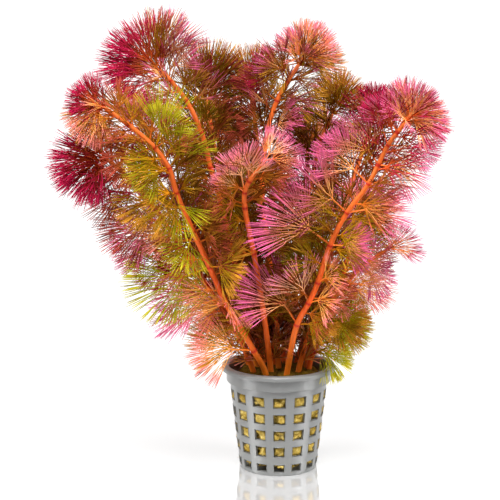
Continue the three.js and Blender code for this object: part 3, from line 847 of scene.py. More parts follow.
class SweepTree:
    """A Geometry Nodes tree that sweeps a many-sided section along the edges of a skeleton.

    Each stretch between two forks becomes a closed tube. Its size at a point is the girth attribute.
    It is pressed flat across the face attribute by the press attribute.
    """

    KIND_MARGIN = 0.1

    def __init__(self, name: str, materials: Sequence[bpy.types.Material]) -> None:
        """Builds the tree.

        Args:
            name: The tree's name.
            materials: The materials, numbered as the kind attribute numbers them.
        """
        self.tree = bpy.data.node_groups.new(name, "GeometryNodeTree")
        self.materials = materials
        interface = self.tree.interface
        interface.new_socket("Skeleton", in_out="INPUT", socket_type="NodeSocketGeometry")
        self.sides = interface.new_socket("Sides", in_out="INPUT", socket_type="NodeSocketInt")
        interface.new_socket("Tubes", in_out="OUTPUT", socket_type="NodeSocketGeometry")
        self._build()

    def _named(self, name: str, data_type: str = "FLOAT") -> Socket:
        """Reads a named attribute."""
        node = add_node(self.tree, "GeometryNodeInputNamedAttribute", {"Name": name}, data_type=data_type)
        return node.outputs["Attribute"]

    def _build(self) -> None:
        """Fills the tree."""
        tree = self.tree
        given = add_node(tree, "NodeGroupInput").outputs
        curve = add_node(tree, "GeometryNodeMeshToCurve", {"Mesh": given["Skeleton"]}).outputs["Curve"]
        place = add_node(tree, "GeometryNodeInputPosition").outputs["Position"]
        store = add_node(
            tree, "GeometryNodeStoreNamedAttribute", {"Name": "axis", "Geometry": curve, "Value": place},
            data_type="FLOAT_VECTOR", domain="POINT",
        )
        section = add_node(
            tree, "GeometryNodeCurvePrimitiveCircle", {"Radius": 1.0, "Resolution": given["Sides"]}
        )
        inputs = {
            "Fill Caps": True, "Curve": store.outputs["Geometry"],
            "Profile Curve": section.outputs["Curve"], "Scale": self._named("girth"),
        }
        sweep = add_node(tree, "GeometryNodeCurveToMesh", inputs)
        face = self._named("face", "FLOAT_VECTOR")
        inputs = {0: place, 1: self._named("axis", "FLOAT_VECTOR")}
        away = add_node(tree, "ShaderNodeVectorMath", inputs, operation="SUBTRACT")
        inputs = {0: away.outputs["Vector"], 1: face}
        across = add_node(tree, "ShaderNodeVectorMath", inputs, operation="DOT_PRODUCT")
        inputs = {0: across.outputs["Value"], 1: self._named("press")}
        pressed = add_node(tree, "ShaderNodeMath", inputs, operation="MULTIPLY")
        inputs = {0: face, "Scale": pressed.outputs["Value"]}
        offset = add_node(tree, "ShaderNodeVectorMath", inputs, operation="SCALE")
        inputs = {"Geometry": sweep.outputs["Mesh"], "Offset": offset.outputs["Vector"]}
        move = add_node(tree, "GeometryNodeSetPosition", inputs)
        realize = add_node(tree, "GeometryNodeRealizeInstances", {"Geometry": move.outputs["Geometry"]})
        geometry = realize.outputs["Geometry"]
        kind = self._named("kind")
        for number, material in enumerate(self.materials):
            inputs = {"A": kind, "B": float(number), "Epsilon": self.KIND_MARGIN}
            same = add_node(tree, "FunctionNodeCompare", inputs, data_type="FLOAT", operation="EQUAL")
            inputs = {"Geometry": geometry, "Selection": same.outputs["Result"], "Material": material}
            geometry = add_node(tree, "GeometryNodeSetMaterial", inputs).outputs["Geometry"]
        add_node(tree, "NodeGroupOutput", {"Tubes": geometry})

    def run(self, name: str, skeleton: bpy.types.Mesh, sides: int) -> bpy.types.Object:
        """Sweeps a skeleton and keeps the result as a plain mesh.

        Args:
            name: The new object's name.
            skeleton: The skeleton.
            sides: Number of sides of every tube.

        Returns:
            The new object.
        """
        holder = add_object(f"{name}_skeleton", skeleton)
        modifier = holder.modifiers.new("Sweep", "NODES")
        modifier.node_group = self.tree
        modifier[self.sides.identifier] = sides
        return baked(holder, name)


def baked(holder: bpy.types.Object, name: str) -> bpy.types.Object:
    """Turns what an object's modifiers make into a plain object, and removes the first one.

    Args:
        holder: The object with its modifiers.
        name: Name of the plain object.

    Returns:
        The plain object.
    """
    graph = bpy.context.evaluated_depsgraph_get()
    graph.update()
    mesh = bpy.data.meshes.new_from_object(holder.evaluated_get(graph))
    mesh.name = name
    source = holder.data
    bpy.data.objects.remove(holder)
    bpy.data.meshes.remove(source)
    return add_object(name, mesh)


class Threads:
    """The skeleton of many threads, with what the sweep and the finish read at each point."""

    def __init__(self) -> None:
        """Starts with no threads."""
        self.places: list[np.ndarray] = []
        self.edges: list[tuple[int, int]] = []
        self.values: dict[str, list[float]] = {
            key: [] for key in ("girth", "press", "reach", "tone", "strand", "ring", "kind")
        }
        self.faces: list[np.ndarray] = []

    def add(self, place: np.ndarray, parent: int | None, face: np.ndarray, **values: float) -> int:
        """Adds a point, and an edge from its parent.

        Args:
            place: Where the point is, in metres.
            parent: Number of the point before it, or None at a thread's root.
            face: The way that the thread is pressed flat.
            **values: The point's attributes; what isn't given is zero.

        Returns:
            The point's number.
        """
        number = len(self.places)
        self.places.append(place)
        self.faces.append(face)
        for key, column in self.values.items():
            column.append(values.get(key, 0.0))
        if parent is not None:
            self.edges.append((parent, number))
        return number

    def mesh(self, name: str) -> bpy.types.Mesh:
        """Makes a mesh of edges that carries the attributes.

        Args:
            name: The mesh's name.

        Returns:
            The new mesh.
        """
        mesh = bpy.data.meshes.new(name)
        mesh.from_pydata(self.places, self.edges, [])
        for key, column in self.values.items():
            layer = mesh.attributes.new(key, "FLOAT", "POINT")
            layer.data.foreach_set("value", np.asarray(column, dtype=np.float32))
        layer = mesh.attributes.new("face", "FLOAT_VECTOR", "POINT")
        layer.data.foreach_set("vector", np.asarray(self.faces, dtype=np.float32).ravel())
        return mesh


STRIP_WIDTH = 0.004
STRIP_START = 0.01
STRIP_SPAN = 0.97


def attribute_values(mesh: bpy.types.Mesh, key: str) -> np.ndarray:
    """Reads an attribute of a mesh's vertices.

    Args:
        mesh: The mesh.
        key: The attribute's name.

    Returns:
        Its value at each vertex.
    """
    values = np.empty(len(mesh.vertices), dtype=np.float32)
    mesh.attributes[key].data.foreach_get("value", values)
    return values


def drop_attributes(mesh: bpy.types.Mesh, *keys: str) -> None:
    """Removes attributes that the finish doesn't read.

    Args:
        mesh: The mesh.
        *keys: Names of attributes that it may have.
    """
    for key in keys:
        if key in mesh.attributes:
            mesh.attributes.remove(mesh.attributes[key])


def lay_out_strips(obj: bpy.types.Object, sides: int) -> None:
    """Gives swept threads a flat layout: reach runs one way and the strand the other.

    Args:
        obj: The swept object.
        sides: Number of sides of its tubes.
    """
    mesh = obj.data
    corner = np.arange(len(mesh.vertices)) % sides
    across = np.abs(corner - sides / 2) * 2 / sides
    along = np.where(corner % 2 == 0, 0.0, STRIP_WIDTH)
    u = STRIP_START + STRIP_SPAN * attribute_values(mesh, "reach") + along
    v = STRIP_START + STRIP_SPAN * attribute_values(mesh, "strand") + STRIP_WIDTH * across
    layout = mesh.uv_layers.new(name=BAKE_MAP)
    corners = np.empty(len(mesh.loops), dtype=np.int32)
    mesh.loops.foreach_get("vertex_index", corners)
    layout.data.foreach_set("uv", np.column_stack((u, v))[corners].astype(np.float32).ravel())
    drop_attributes(mesh, "axis", "face", "press", "girth", "kind", "strand")


def drop_unused_materials(mesh: bpy.types.Mesh) -> None:
    """Keeps only the materials that some face wears.

    Args:
        mesh: The mesh.
    """
    worn = np.empty(len(mesh.polygons), dtype=np.int32)
    mesh.polygons.foreach_get("material_index", worn)
    kept = sorted(set(worn.tolist()))
    materials = [mesh.materials[number] for number in kept]
    order = {old: new for new, old in enumerate(kept)}
    mesh.materials.clear()
    for material in materials:
        mesh.materials.append(material)
    mesh.polygons.foreach_set("material_index", np.array([order[o] for o in worn.tolist()]))
    mesh.update()


# Stems.


@dataclass(frozen=True)
class StemPath:
    """The smooth axis of a stem through its route points.

    Attributes:
        route: The route points in metres.
    """

    route: np.ndarray

    LOW = 1.45 * MM
    HIGH = 0.95 * MM

    def at(self, place: float) -> tuple[np.ndarray, np.ndarray]:
        """Place and direction of the axis.

        Args:
            place: A route point's number, or a number between two of them.

        Returns:
            The point and the unit direction there.
        """
        last = len(self.route) - 1
        step = min(int(place), last - 1)
        share = place - step
        one, two = self.route[step], self.route[step + 1]
        before = self.route[step - 1] if step > 0 else 2 * one - two
        after = self.route[step + 2] if step + 2 <= last else 2 * two - one
        gaps = [math.sqrt(np.linalg.norm(b - a)) for a, b in ((before, one), (one, two), (two, after))]
        leave = self._slope(before, one, two, gaps[0], gaps[1]) * gaps[1]
        arrive = self._slope(one, two, after, gaps[1], gaps[2]) * gaps[1]
        bend = -3 * one + 3 * two - 2 * leave - arrive
        turn = 2 * one - 2 * two + leave + arrive
        point = one + leave * share + bend * share**2 + turn * share**3
        slope = leave + 2 * bend * share + 3 * turn * share**2
        return point, unit(slope)

    @staticmethod
    def _slope(
        before: np.ndarray, here: np.ndarray, after: np.ndarray, first: float, second: float
    ) -> np.ndarray:
        """Slope at a route point of a curve that is spaced by the roots of the distances."""
        return (here - before) / first - (after - before) / (first + second) + (after - here) / second

    def radius(self, place: float) -> float:
        """Radius of the stem, which thins evenly from foot to tip."""
        return self.LOW + (self.HIGH - self.LOW) * place / (len(self.route) - 1)


@dataclass(frozen=True)
class Stem:
    """The skin of one stem: a smooth tube that swells at its joints.

    Attributes:
        letter: The shoot's letter.
        path: The stem's axis.
        joints: Places of its joints along the route.
    """

    letter: str
    path: StemPath
    joints: tuple[float, ...]

    SIDES = 14
    STEP = 0.9 * MM
    SWELL = 0.12
    SWELL_REACH = 1.3 * MM
    RING_REACH = 0.75 * MM
    ROUND_END = (0.35, 0.75, 0.93)
    TUBE_START, TUBE_SPAN = 0.04, 0.92
    GIRTH_START, GIRTH_SPAN = 0.02, 0.9
    CAP_CENTRE, CAP_RADIUS = 0.96, 0.02

    def build(self, sweep: SweepTree) -> bpy.types.Object:
        """Builds the stem.

        Args:
            sweep: The tree that sweeps it.

        Returns:
            The stem's object.
        """
        threads = Threads()
        last = len(self.path.route) - 1
        joint_places = [self.path.at(joint)[0] for joint in self.joints]
        parent = None
        samples = list(self._samples(last))
        for number, place in enumerate(samples):
            point, _ = self.path.at(place)
            near = min((np.linalg.norm(point - joint) for joint in joint_places), default=1.0)
            swell = 1 + self.SWELL * math.exp(-((near / self.SWELL_REACH) ** 2))
            from_end = min(number, len(samples) - 1 - number)
            closing = self.ROUND_END[from_end] if from_end < len(self.ROUND_END) else 1.0
            parent = threads.add(
                point, parent, np.array((0.0, 0.0, 1.0)),
                girth=self.path.radius(place) * swell * closing,
                reach=place / last,
                ring=math.exp(-((near / self.RING_REACH) ** 4)),
            )
        name = f"stem_{self.letter}_skin"
        obj = sweep.run(name, threads.mesh(name), self.SIDES)
        self._lay_out(obj)
        return smooth(obj)

    def _samples(self, last: int) -> Iterator[float]:
        """Places along the route at even steps.

        Args:
            last: Number of the last route point.

        Yields:
            The places from foot to tip.
        """
        for step in range(last):
            length = np.linalg.norm(self.path.route[step + 1] - self.path.route[step])
            count = max(2, round(length / self.STEP))
            for part in range(count):
                yield step + part / count
        yield float(last)

    def _lay_out(self, obj: bpy.types.Object) -> None:
        """Gives the tube a flat layout: its length one way and its girth the other.

        Args:
            obj: The swept stem.
        """
        mesh = obj.data
        reach = attribute_values(mesh, "reach")
        layout = mesh.uv_layers.new(name=BAKE_MAP)
        uv = np.empty((len(mesh.loops), 2), dtype=np.float32)
        for polygon in mesh.polygons:
            loops = range(polygon.loop_start, polygon.loop_start + polygon.loop_total)
            corners = [mesh.loops[loop].vertex_index for loop in loops]
            turns = [corner % self.SIDES for corner in corners]
            capped = len(corners) > 4
            wraps = max(turns) - min(turns) > 1 and not capped
            for loop, corner, turn in zip(loops, corners, turns):
                if wraps and turn == 0:
                    turn = self.SIDES
                u = self.TUBE_START + self.TUBE_SPAN * reach[corner]
                v = self.GIRTH_START + self.GIRTH_SPAN * turn / self.SIDES
                if capped:
                    angle = 2 * math.pi * turn / self.SIDES
                    u += self.CAP_RADIUS * math.cos(angle)
                    v = self.CAP_CENTRE + self.CAP_RADIUS * math.sin(angle)
                uv[loop] = u, v
        layout.data.foreach_set("uv", uv.ravel())
        drop_attributes(mesh, "axis", "face", "press", "girth", "kind", "strand", "tone")


def smooth(obj: bpy.types.Object) -> bpy.types.Object:
    """Shades an object smooth."""
    obj.data.shade_smooth()
    return obj


# Leaves.


@dataclass(frozen=True)
class Fan:
    """How the threads of a leaf open past the end of its stalk.

    Attributes:
        half_angle: Half of the fan's angle in degrees.
        divisions: Number of main threads at the end of the stalk.
        layers: Number of fans that grow on one stalk, turned against each other.
        tilt: Spread of the threads out of the leaf's plane, in degrees.
        stalk: The stalk's share of the leaf's length.
        swing: How far the leaves' faces swing to either side of the front, in degrees.
        forks: Where the threads fork, as shares of the way from the stalk's end to the tips.
        tones: Painted shade: how light a leaf deep in the bunch and one at its edge are, 0 dark, 1 light.
        stout: How much thicker the threads are than in a main whorl.
    """

    half_angle: float
    divisions: int
    layers: int
    tilt: float
    stalk: float
    swing: float
    forks: tuple[float, ...]
    tones: tuple[float, float]
    stout: float = 1.0

    def lit(self, light: float) -> "Fan":
        """The same fan on a shoot that is painted as standing in more light."""
        dark, bright = self.tones
        return replace(self, tones=(dark + light, bright + light / 2))


WHORL_FAN = Fan(
    62, 3, 1, tilt=6, stalk=0.3, swing=60, forks=(0.06, 0.17, 0.3, 0.44, 0.6), tones=(0.4, 0.8)
)
FURTHER_FAN = Fan(
    62, 3, 1, tilt=8, stalk=0.3, swing=60, forks=(0.08, 0.22, 0.38, 0.56), tones=(0.0, 0.7), stout=1.25
)
CROWN_FAN = Fan(48, 6, 3, tilt=12, stalk=0.12, swing=60, forks=(0.12, 0.3, 0.54), tones=(0.5, 0.75))
OPEN_CROWN_FAN = Fan(
    56, 3, 1, tilt=8, stalk=0.16, swing=60, forks=(0.08, 0.2, 0.36, 0.54), tones=(0.6, 0.8)
)
SMALL_FAN = Fan(62, 3, 1, tilt=8, stalk=0.26, swing=32, forks=(0.08, 0.2, 0.36, 0.54), tones=(0.1, 0.85))
FILLING_FAN = Fan(56, 6, 1, tilt=12, stalk=0.2, swing=80, forks=(0.2, 0.5), tones=(-0.1, 0.75), stout=1.3)
YOUNG_FAN = Fan(34, 5, 1, tilt=12, stalk=0.08, swing=80, forks=(0.2, 0.45), tones=(0.4, 0.7))


@dataclass(frozen=True)
class Limb:
    """A thread from one fork to the next, or from the last fork to its tip.

    Attributes:
        level: Number of forks before it.
        begin: Share of the way to the tips, angle and tilt at which it leaves its fork.
        angle: The angle in the leaf's plane that it turns to, in radians.
        tilt: The angle out of the leaf's plane that it turns to, in radians.
        half: Half of the angle that it and what grows from it have to themselves, in radians.
        strand: Its place across the fan, from 0 to 1.
        width: Its share of that width.
        tone: How light it is.
    """

    level: int
    begin: tuple[float, float, float]
    angle: float
    tilt: float
    half: float
    strand: float
    width: float
    tone: float


@dataclass
class LeafFan:
    """A stalk and its fan of threads. It draws its random numbers in one fixed order.

    Attributes:
        threads: The skeleton that it is added to.
        fan: How its threads open.
        rng: The leaf's own random numbers.
        basis: The leaf's own axes: along it, across it and out of its face.
        place: Where the stalk starts, in metres.
        length: The leaf's length in metres.
        kind: Number of its tint.
        at: Its place among the skeleton's leaves.
        leaf_count: Number of the skeleton's leaves.
        tone: How light it is.
    """

    threads: Threads
    fan: Fan
    rng: np.random.Generator
    basis: np.ndarray
    place: np.ndarray
    length: float
    kind: float
    at: float
    leaf_count: int
    tone: float

    SIDE_LOBE_SHARE = 0.86
    STALK_PLACES = (0.0, 0.5, 1.0)
    STALK_GIRTH = 0.42 * MM
    STALK_THINNING = 0.15
    STALK_PRESS = 0.1
    THREAD_GIRTHS = (0.26 * MM, 0.2 * MM, 0.17 * MM, 0.15 * MM, 0.135 * MM)
    THREAD_PRESS = 0.15
    BLADE_GIRTHS = (0.185 * MM, 0.1 * MM)
    BLADE_PLACES = (0.66, 1.0)
    BLADE_PRESS = 0.55
    LEAF_AT_FULL_GIRTH = 30 * MM
    ARCH = 0.05
    SWAY = 0.05
    DROOP = 0.05
    FIRST_TURN = 0.4
    EASE = 1.7
    FORK_REACH = 0.96
    FORK_SHIFTS = (0.88, 1.12)
    TIP_REACHES = (0.88, 1.0)
    DIVISION_SPREAD = 0.15
    BRANCH_SPREAD = 0.09
    BRANCH_TILT = 0.5
    LEAF_TONE = 0.2
    DIVISION_TONE = 0.14
    TIP_TONE = 0.28
    STRAND_SHARE = 0.9

    def __post_init__(self) -> None:
        """Draws how the whole fan bends and how light it is."""
        self.size = self.fan.stout * math.sqrt(self.length / self.LEAF_AT_FULL_GIRTH)
        self.arch = self.ARCH * self.rng.normal(0, 1)
        self.sway = self.rng.normal(0, self.SWAY)
        self.tone += self.rng.uniform(-self.LEAF_TONE, self.LEAF_TONE)
        self.neck = self.fan.stalk * self.length
        self.half_angle = math.radians(self.fan.half_angle)

    def grow(self) -> None:
        """Adds the stalk and every thread."""
        fan, rng = self.fan, self.rng
        parent = None
        for share in self.STALK_PLACES:
            girth = self.STALK_GIRTH * (1 - self.STALK_THINNING * share)
            where = self._point(self.neck * share, 0, 0)
            parent = self._add(where, parent, fan.stalk * share, girth, 0.5, self.STALK_PRESS, self.tone)
        half = self.half_angle / fan.divisions
        width = 1 / fan.divisions
        for division in range(fan.divisions):
            off = rng.normal(0, self.DIVISION_SPREAD) * half
            angle = -self.half_angle + half * (2 * division + 1) + off
            tilt = rng.normal(0, math.radians(fan.tilt))
            tone = clamped(self.tone + rng.normal(0, self.DIVISION_TONE))
            begin = (0.0, angle * self.FIRST_TURN, 0.0)
            strand = (division + 0.5) * width
            self._branch(parent, Limb(0, begin, angle, tilt, half, strand, width, tone))

    def _point(self, out: float, aside: float, up: float) -> np.ndarray:
        """A point of the leaf, which sways, arches and droops towards its tips.

        Args:
            out: Distance along the leaf.
            aside: Distance across it.
            up: Distance out of its face.

        Returns:
            The point in the scene.
        """
        share = math.hypot(out, aside) / self.length
        length = self.length
        bent = np.array((out, aside + self.sway * length * share**2, up + self.arch * length * share**2))
        world = self.place + self.basis @ bent
        world[2] -= self.DROOP * length * share**2
        return world

    def _past_stalk(self, share: float, angle: float, tilt: float, reach_out: float) -> np.ndarray:
        """A point of the fan.

        Args:
            share: Share of the way from the stalk's end to the tips.
            angle: Angle in the leaf's plane.
            tilt: Angle out of that plane.
            reach_out: How much of the way the thread has.

        Returns:
            The point in the scene.
        """
        distance = (self.length - self.neck) * share * reach_out
        flat = distance * math.cos(tilt)
        along = self.neck + flat * math.cos(angle)
        return self._point(along, flat * math.sin(angle), distance * math.sin(tilt))

    def _add(
        self,
        where: np.ndarray,
        parent: int | None,
        reach: float,
        girth: float,
        strand: float,
        press: float,
        tone: float,
    ) -> int:
        """Adds a point to the skeleton.

        Args:
            where: The point in the scene.
            parent: Number of the point before it, or None at the leaf's root.
            reach: Its share of the way from root to tips.
            girth: Radius of a leaf of full girth there.
            strand: Its place across the fan, from 0 to 1.
            press: How far it is pressed flat, from 0 to 1.
            tone: How light it is.

        Returns:
            The point's number.
        """
        across = (self.at + self.STRAND_SHARE * strand / self.fan.layers) / self.leaf_count
        return self.threads.add(
            where, parent, self.basis[:, 2], girth=girth * self.size, reach=reach, press=-press,
            tone=tone, strand=across, kind=self.kind,
        )

    def _branch(self, start: int, limb: Limb) -> None:
        """Adds a limb and all that grows from it.

        Args:
            start: Number of the point that it grows from.
            limb: The limb.
        """
        fan, rng = self.fan, self.rng
        side = limb.angle / self.half_angle
        reach_out = 1 + (self.SIDE_LOBE_SHARE - 1) * side * side
        share0, angle0, tilt0 = limb.begin
        tone = limb.tone
        terminal = limb.level == len(fan.forks)
        if terminal:
            reach_out *= rng.uniform(*self.TIP_REACHES)
            tone = clamped(tone + rng.normal(0, self.TIP_TONE))
            spots = zip(self.BLADE_PLACES, self.BLADE_GIRTHS)
            end, press = 1.0, self.BLADE_PRESS
        else:
            reach_out *= self.FORK_REACH
            spots = [(1.0, self.THREAD_GIRTHS[limb.level])]
            end, press = fan.forks[limb.level] * rng.uniform(*self.FORK_SHIFTS), self.THREAD_PRESS
        here = start
        for part, girth in spots:
            share = share0 + (end - share0) * part
            ease = 1 - (1 - part) ** self.EASE
            angle = angle0 + (limb.angle - angle0) * ease
            tilt = tilt0 + (limb.tilt - tilt0) * ease
            where = self._past_stalk(share, angle, tilt, reach_out)
            reach = fan.stalk + (1 - fan.stalk) * share
            here = self._add(where, here, reach, girth, limb.strand, press, tone)
        if terminal:
            return
        begin = (end, limb.angle, limb.tilt)
        for way in (-1, 1):
            angle = limb.angle + way * limb.half / 2 + rng.normal(0, self.BRANCH_SPREAD) * limb.half
            tilt = limb.tilt + rng.normal(0, math.radians(fan.tilt) * self.BRANCH_TILT)
            strand = limb.strand + way * limb.width / 4
            half, width = limb.half / 2, limb.width / 2
            self._branch(here, Limb(limb.level + 1, begin, angle, tilt, half, strand, width, tone))


@dataclass(frozen=True)
class LeafGrower:
    """Grows leaves of threads that fork again and again.

    Attributes:
        threads: The skeleton that the leaves are added to.
        leaf_count: Number of leaves that the skeleton will hold.
    """

    threads: Threads
    leaf_count: int

    SWING_STEP = 2.4
    LOOK_UP = 0.35
    TWIST = 42
    TWIST_SPREAD = 6
    SPREAD_HEIGHTS = (50 * MM, 100 * MM, 150 * MM, 210 * MM)
    SPREADS = (24 * MM, 58 * MM, 80 * MM, 72 * MM)
    TONE_CURVE = 1.5

    def grow(self, leaf: Leaf, number: int, place: np.ndarray, fan: Fan, at: int) -> None:
        """Adds one leaf.

        Args:
            leaf: The leaf.
            number: Its running number, which swings its face to one side or the other.
            place: The joint or bud that it grows from, in metres.
            fan: How its threads open.
            at: Which of the skeleton's leaves it is, from zero.
        """
        turn, rise, length, tint = leaf
        rng = np.random.default_rng([number, round(length), round(turn) % 360])
        basis = self._basis(turn, rise, number, fan.swing)
        for layer in range(fan.layers):
            twist = self.TWIST * (layer - (fan.layers - 1) / 2) + rng.normal(0, self.TWIST_SPREAD)
            # Painted shade: a leaf whose tip lies deep in the bunch is darker.
            tone = self._tone(place + basis[:, 0] * length * MM, fan)
            own = tint if layer % 2 == 0 else COMPANIONS[tint]
            LeafFan(
                self.threads, fan, rng, basis @ turned(twist), place, length * MM,
                float(list(Tint).index(own)), at + layer / fan.layers, self.leaf_count, tone,
            ).grow()

    def _basis(self, turn: float, rise: float, number: int, most: float) -> np.ndarray:
        """The way that a leaf points and the way that its face looks.

        Args:
            turn: The leaf's turn about +Z in degrees.
            rise: Its rise above level in degrees.
            number: Its running number.
            most: How far the faces swing to either side, in degrees.

        Returns:
            A matrix whose columns are along the leaf, across it and out of its face.
        """
        around, up = math.radians(turn), math.radians(rise)
        level = math.cos(up)
        along = np.array((level * math.cos(around), level * math.sin(around), math.sin(up)))
        swing = math.radians(most * math.sin(self.SWING_STEP * number))
        face = np.array((math.sin(swing), -math.cos(swing), self.LOOK_UP))
        face = unit(face - along * face.dot(along))
        return np.column_stack((along, np.cross(face, along), face))

    def _tone(self, tip: np.ndarray, fan: Fan) -> float:
        """Painted shade of a leaf: dark deep in the bunch, light at its edge.

        Args:
            tip: Where the leaf ends.
            fan: How its threads open.

        Returns:
            The brightness, about 0 in the dark and 1 in full light.
        """
        edge = np.interp(tip[2], self.SPREAD_HEIGHTS, self.SPREADS)
        share = min(1.0, math.hypot(tip[0], tip[1]) / edge)
        dark, light = fan.tones
        return dark + (light - dark) * share**self.TONE_CURVE


def clamped(value: float) -> float:
    """The value, kept between 0 and 1."""
    return min(1.0, max(0.0, value))


def turned(degrees: float) -> np.ndarray:
    """A turn about the X axis.

    Args:
        degrees: The angle.

    Returns:
        The matrix of the turn.
    """
    angle = math.radians(degrees)
    c, s = math.cos(angle), math.sin(angle)
    return np.array(((1, 0, 0), (0, c, -s), (0, s, c)))


@dataclass(frozen=True)
class LeafSite:
    """Leaves that grow from one place.

    Attributes:
        place: The place in metres.
        leaves: The leaves.
        fan: How their threads open.
        first: Running number of the first of them.
    """

    place: np.ndarray
    leaves: tuple[Leaf, ...]
    fan: Fan
    first: int


@dataclass(frozen=True)
class Foliage:
    """One piece of foliage: the leaves of one or more sites, as a mesh of threads.

    Attributes:
        name: The piece's name.
        sites: Where its leaves grow.
        node: The frame's node that it replaces, or None.
    """

    name: str
    sites: tuple[LeafSite, ...]
    node: str | None

    SIDES = 3

    def build(self, sweep: SweepTree) -> bpy.types.Object:
        """Builds the piece.

        Args:
            sweep: The tree that sweeps its threads.

        Returns:
            The piece's object.
        """
        threads = Threads()
        leaf_count = sum(len(site.leaves) for site in self.sites)
        grower = LeafGrower(threads, leaf_count)
        at = 0
        for site in self.sites:
            for index, leaf in enumerate(site.leaves):
                grower.grow(leaf, site.first + index, site.place, site.fan, at)
                at += 1
        obj = sweep.run(self.name, threads.mesh(self.name), self.SIDES)
        lay_out_strips(obj, self.SIDES)
        drop_unused_materials(obj.data)
        return smooth(obj)

    @property
    def tint(self) -> Tint:
        """The tint of its first leaf."""
        return self.sites[0].leaves[0][3]


@dataclass(frozen=True)
class Filling:
    """Short leaves in sets all along a stem, each set turned against the one before.

    Attributes:
        path: The stem's axis.
        tints: Their tints from the foot of the stem to its tip.
        seed: Seed of their random numbers.
        start: Height in metres at which they begin.
        end: Height in metres at which they end.
        lean: The angle between a leaf and the stem in degrees.
        lengths: The shortest and the longest leaf in millimetres.
        turns: How the leaves of one set are turned about the stem, in degrees.
        spacing: The way along the stem from one set to the next, in metres.
    """

    path: StemPath
    tints: tuple[Tint, ...]
    seed: int
    start: float
    end: float = 1.0
    lean: float = 55.0
    lengths: tuple[float, float] = (17.0, 27.0)
    turns: tuple[float, ...] = (0, 120, 240)
    spacing: float = 8.5 * MM

    FRONT = 270.0
    CLEAR = 50.0
    WALK = 0.02
    TIP_MARGIN = 0.1
    WANDER = 1 * MM
    TURN_STEP, TURN_SPREAD = 60, 12
    LEAF_TURN_SPREAD = 14
    YOUNG_LEANS = (12, 34, 34, 34, 52, 52, 52)
    YOUNG_TURN_STEP, YOUNG_TURN_SPREAD = 137.5, 10
    YOUNG_SHARES = (0.62, 0.85)
    YOUNG_DEPTH_MM = 1.5
    SLANT = (0.0, 1.0, 0.02)

    def sites(self, number: int) -> list[LeafSite]:
        """Places the sets.

        Args:
            number: Running number of the first leaf.

        Returns:
            One site for each set.
        """
        rng = np.random.default_rng(self.seed)
        sites = []
        last = len(self.path.route) - 1
        turn = rng.uniform(0, 180)
        walked = self.spacing
        place = 0.0
        before = self.path.at(0.0)[0]
        rise = min(self.end, self.path.at(float(last))[0][2]) - self.start
        while place < last - self.TIP_MARGIN:
            place += self.WALK
            here, along = self.path.at(place)
            walked += np.linalg.norm(here - before)
            before = here
            if not self.start <= here[2] < self.end or walked < self.spacing:
                continue
            walked = rng.uniform(-1, 1) * self.WANDER
            step = int(len(self.tints) * (here[2] - self.start) / rise)
            tint = self.tints[min(len(self.tints) - 1, step)]
            leaves = []
            for own in self.turns:
                aim = self._aim(along, turn + own + rng.normal(0, self.LEAF_TURN_SPREAD), self.lean)
                leaves.append((*aim, rng.uniform(*self.lengths), tint))
            turn += self.TURN_STEP + rng.normal(0, self.TURN_SPREAD)
            sites.append(LeafSite(here, tuple(leaves), FILLING_FAN, number))
            number += len(leaves)
        return sites

    def young(self, crown: tuple[Leaf, ...], count: int, number: int) -> LeafSite:
        """The youngest leaves, which close round the tip of the stem.

        Args:
            crown: The shoot's crown, which gives their tints and lengths.
            count: Number of leaves.
            number: Running number of the first leaf.

        Returns:
            The site at the tip.
        """
        rng = np.random.default_rng(self.seed + 1)
        tip, along = self.path.at(len(self.path.route) - 1)
        leaves = []
        for index, lean in enumerate(self.YOUNG_LEANS[:count]):
            model = crown[index % len(crown)]
            turn = self.YOUNG_TURN_STEP * index + rng.normal(0, self.YOUNG_TURN_SPREAD)
            aim = self._aim(along, turn, lean)
            leaves.append((*aim, model[2] * rng.uniform(*self.YOUNG_SHARES), model[3]))
        return LeafSite(tip - along * self.YOUNG_DEPTH_MM * MM, tuple(leaves), YOUNG_FAN, number)

    def _aim(self, along: np.ndarray, turn: float, lean: float) -> tuple[float, float]:
        """Turn and rise of a leaf that leans away from the stem and doesn't hide it from the front.

        Args:
            along: The stem's direction.
            turn: The leaf's turn about the stem in degrees.
            lean: The angle between the leaf and the stem in degrees.

        Returns:
            Its turn about +Z and its rise above level, in degrees.
        """
        side = unit(np.cross(along, self.SLANT))
        front = np.cross(side, along)
        around, away = math.radians(turn), math.radians(lean)
        way = math.cos(away) * along
        way = way + math.sin(away) * (math.cos(around) * side + math.sin(around) * front)
        rise = math.asin(max(-1.0, min(1.0, way[2])))
        turned_to = math.degrees(math.atan2(way[1], way[0]))
        off_front = (turned_to - self.FRONT + 180) % 360 - 180
        if abs(off_front) < self.CLEAR:
            turned_to = self.FRONT + math.copysign(self.CLEAR, off_front)
        return turned_to, math.degrees(rise)


@dataclass
class Counter:
    """A running number for leaves.

    Attributes:
        value: The next number.
    """

    value: int

    def take(self, count: int) -> int:
        """Numbers some leaves.

        Args:
            count: How many they are.

        Returns:
            Number of the first of them.
        """
        first = self.value
        self.value += count
        return first


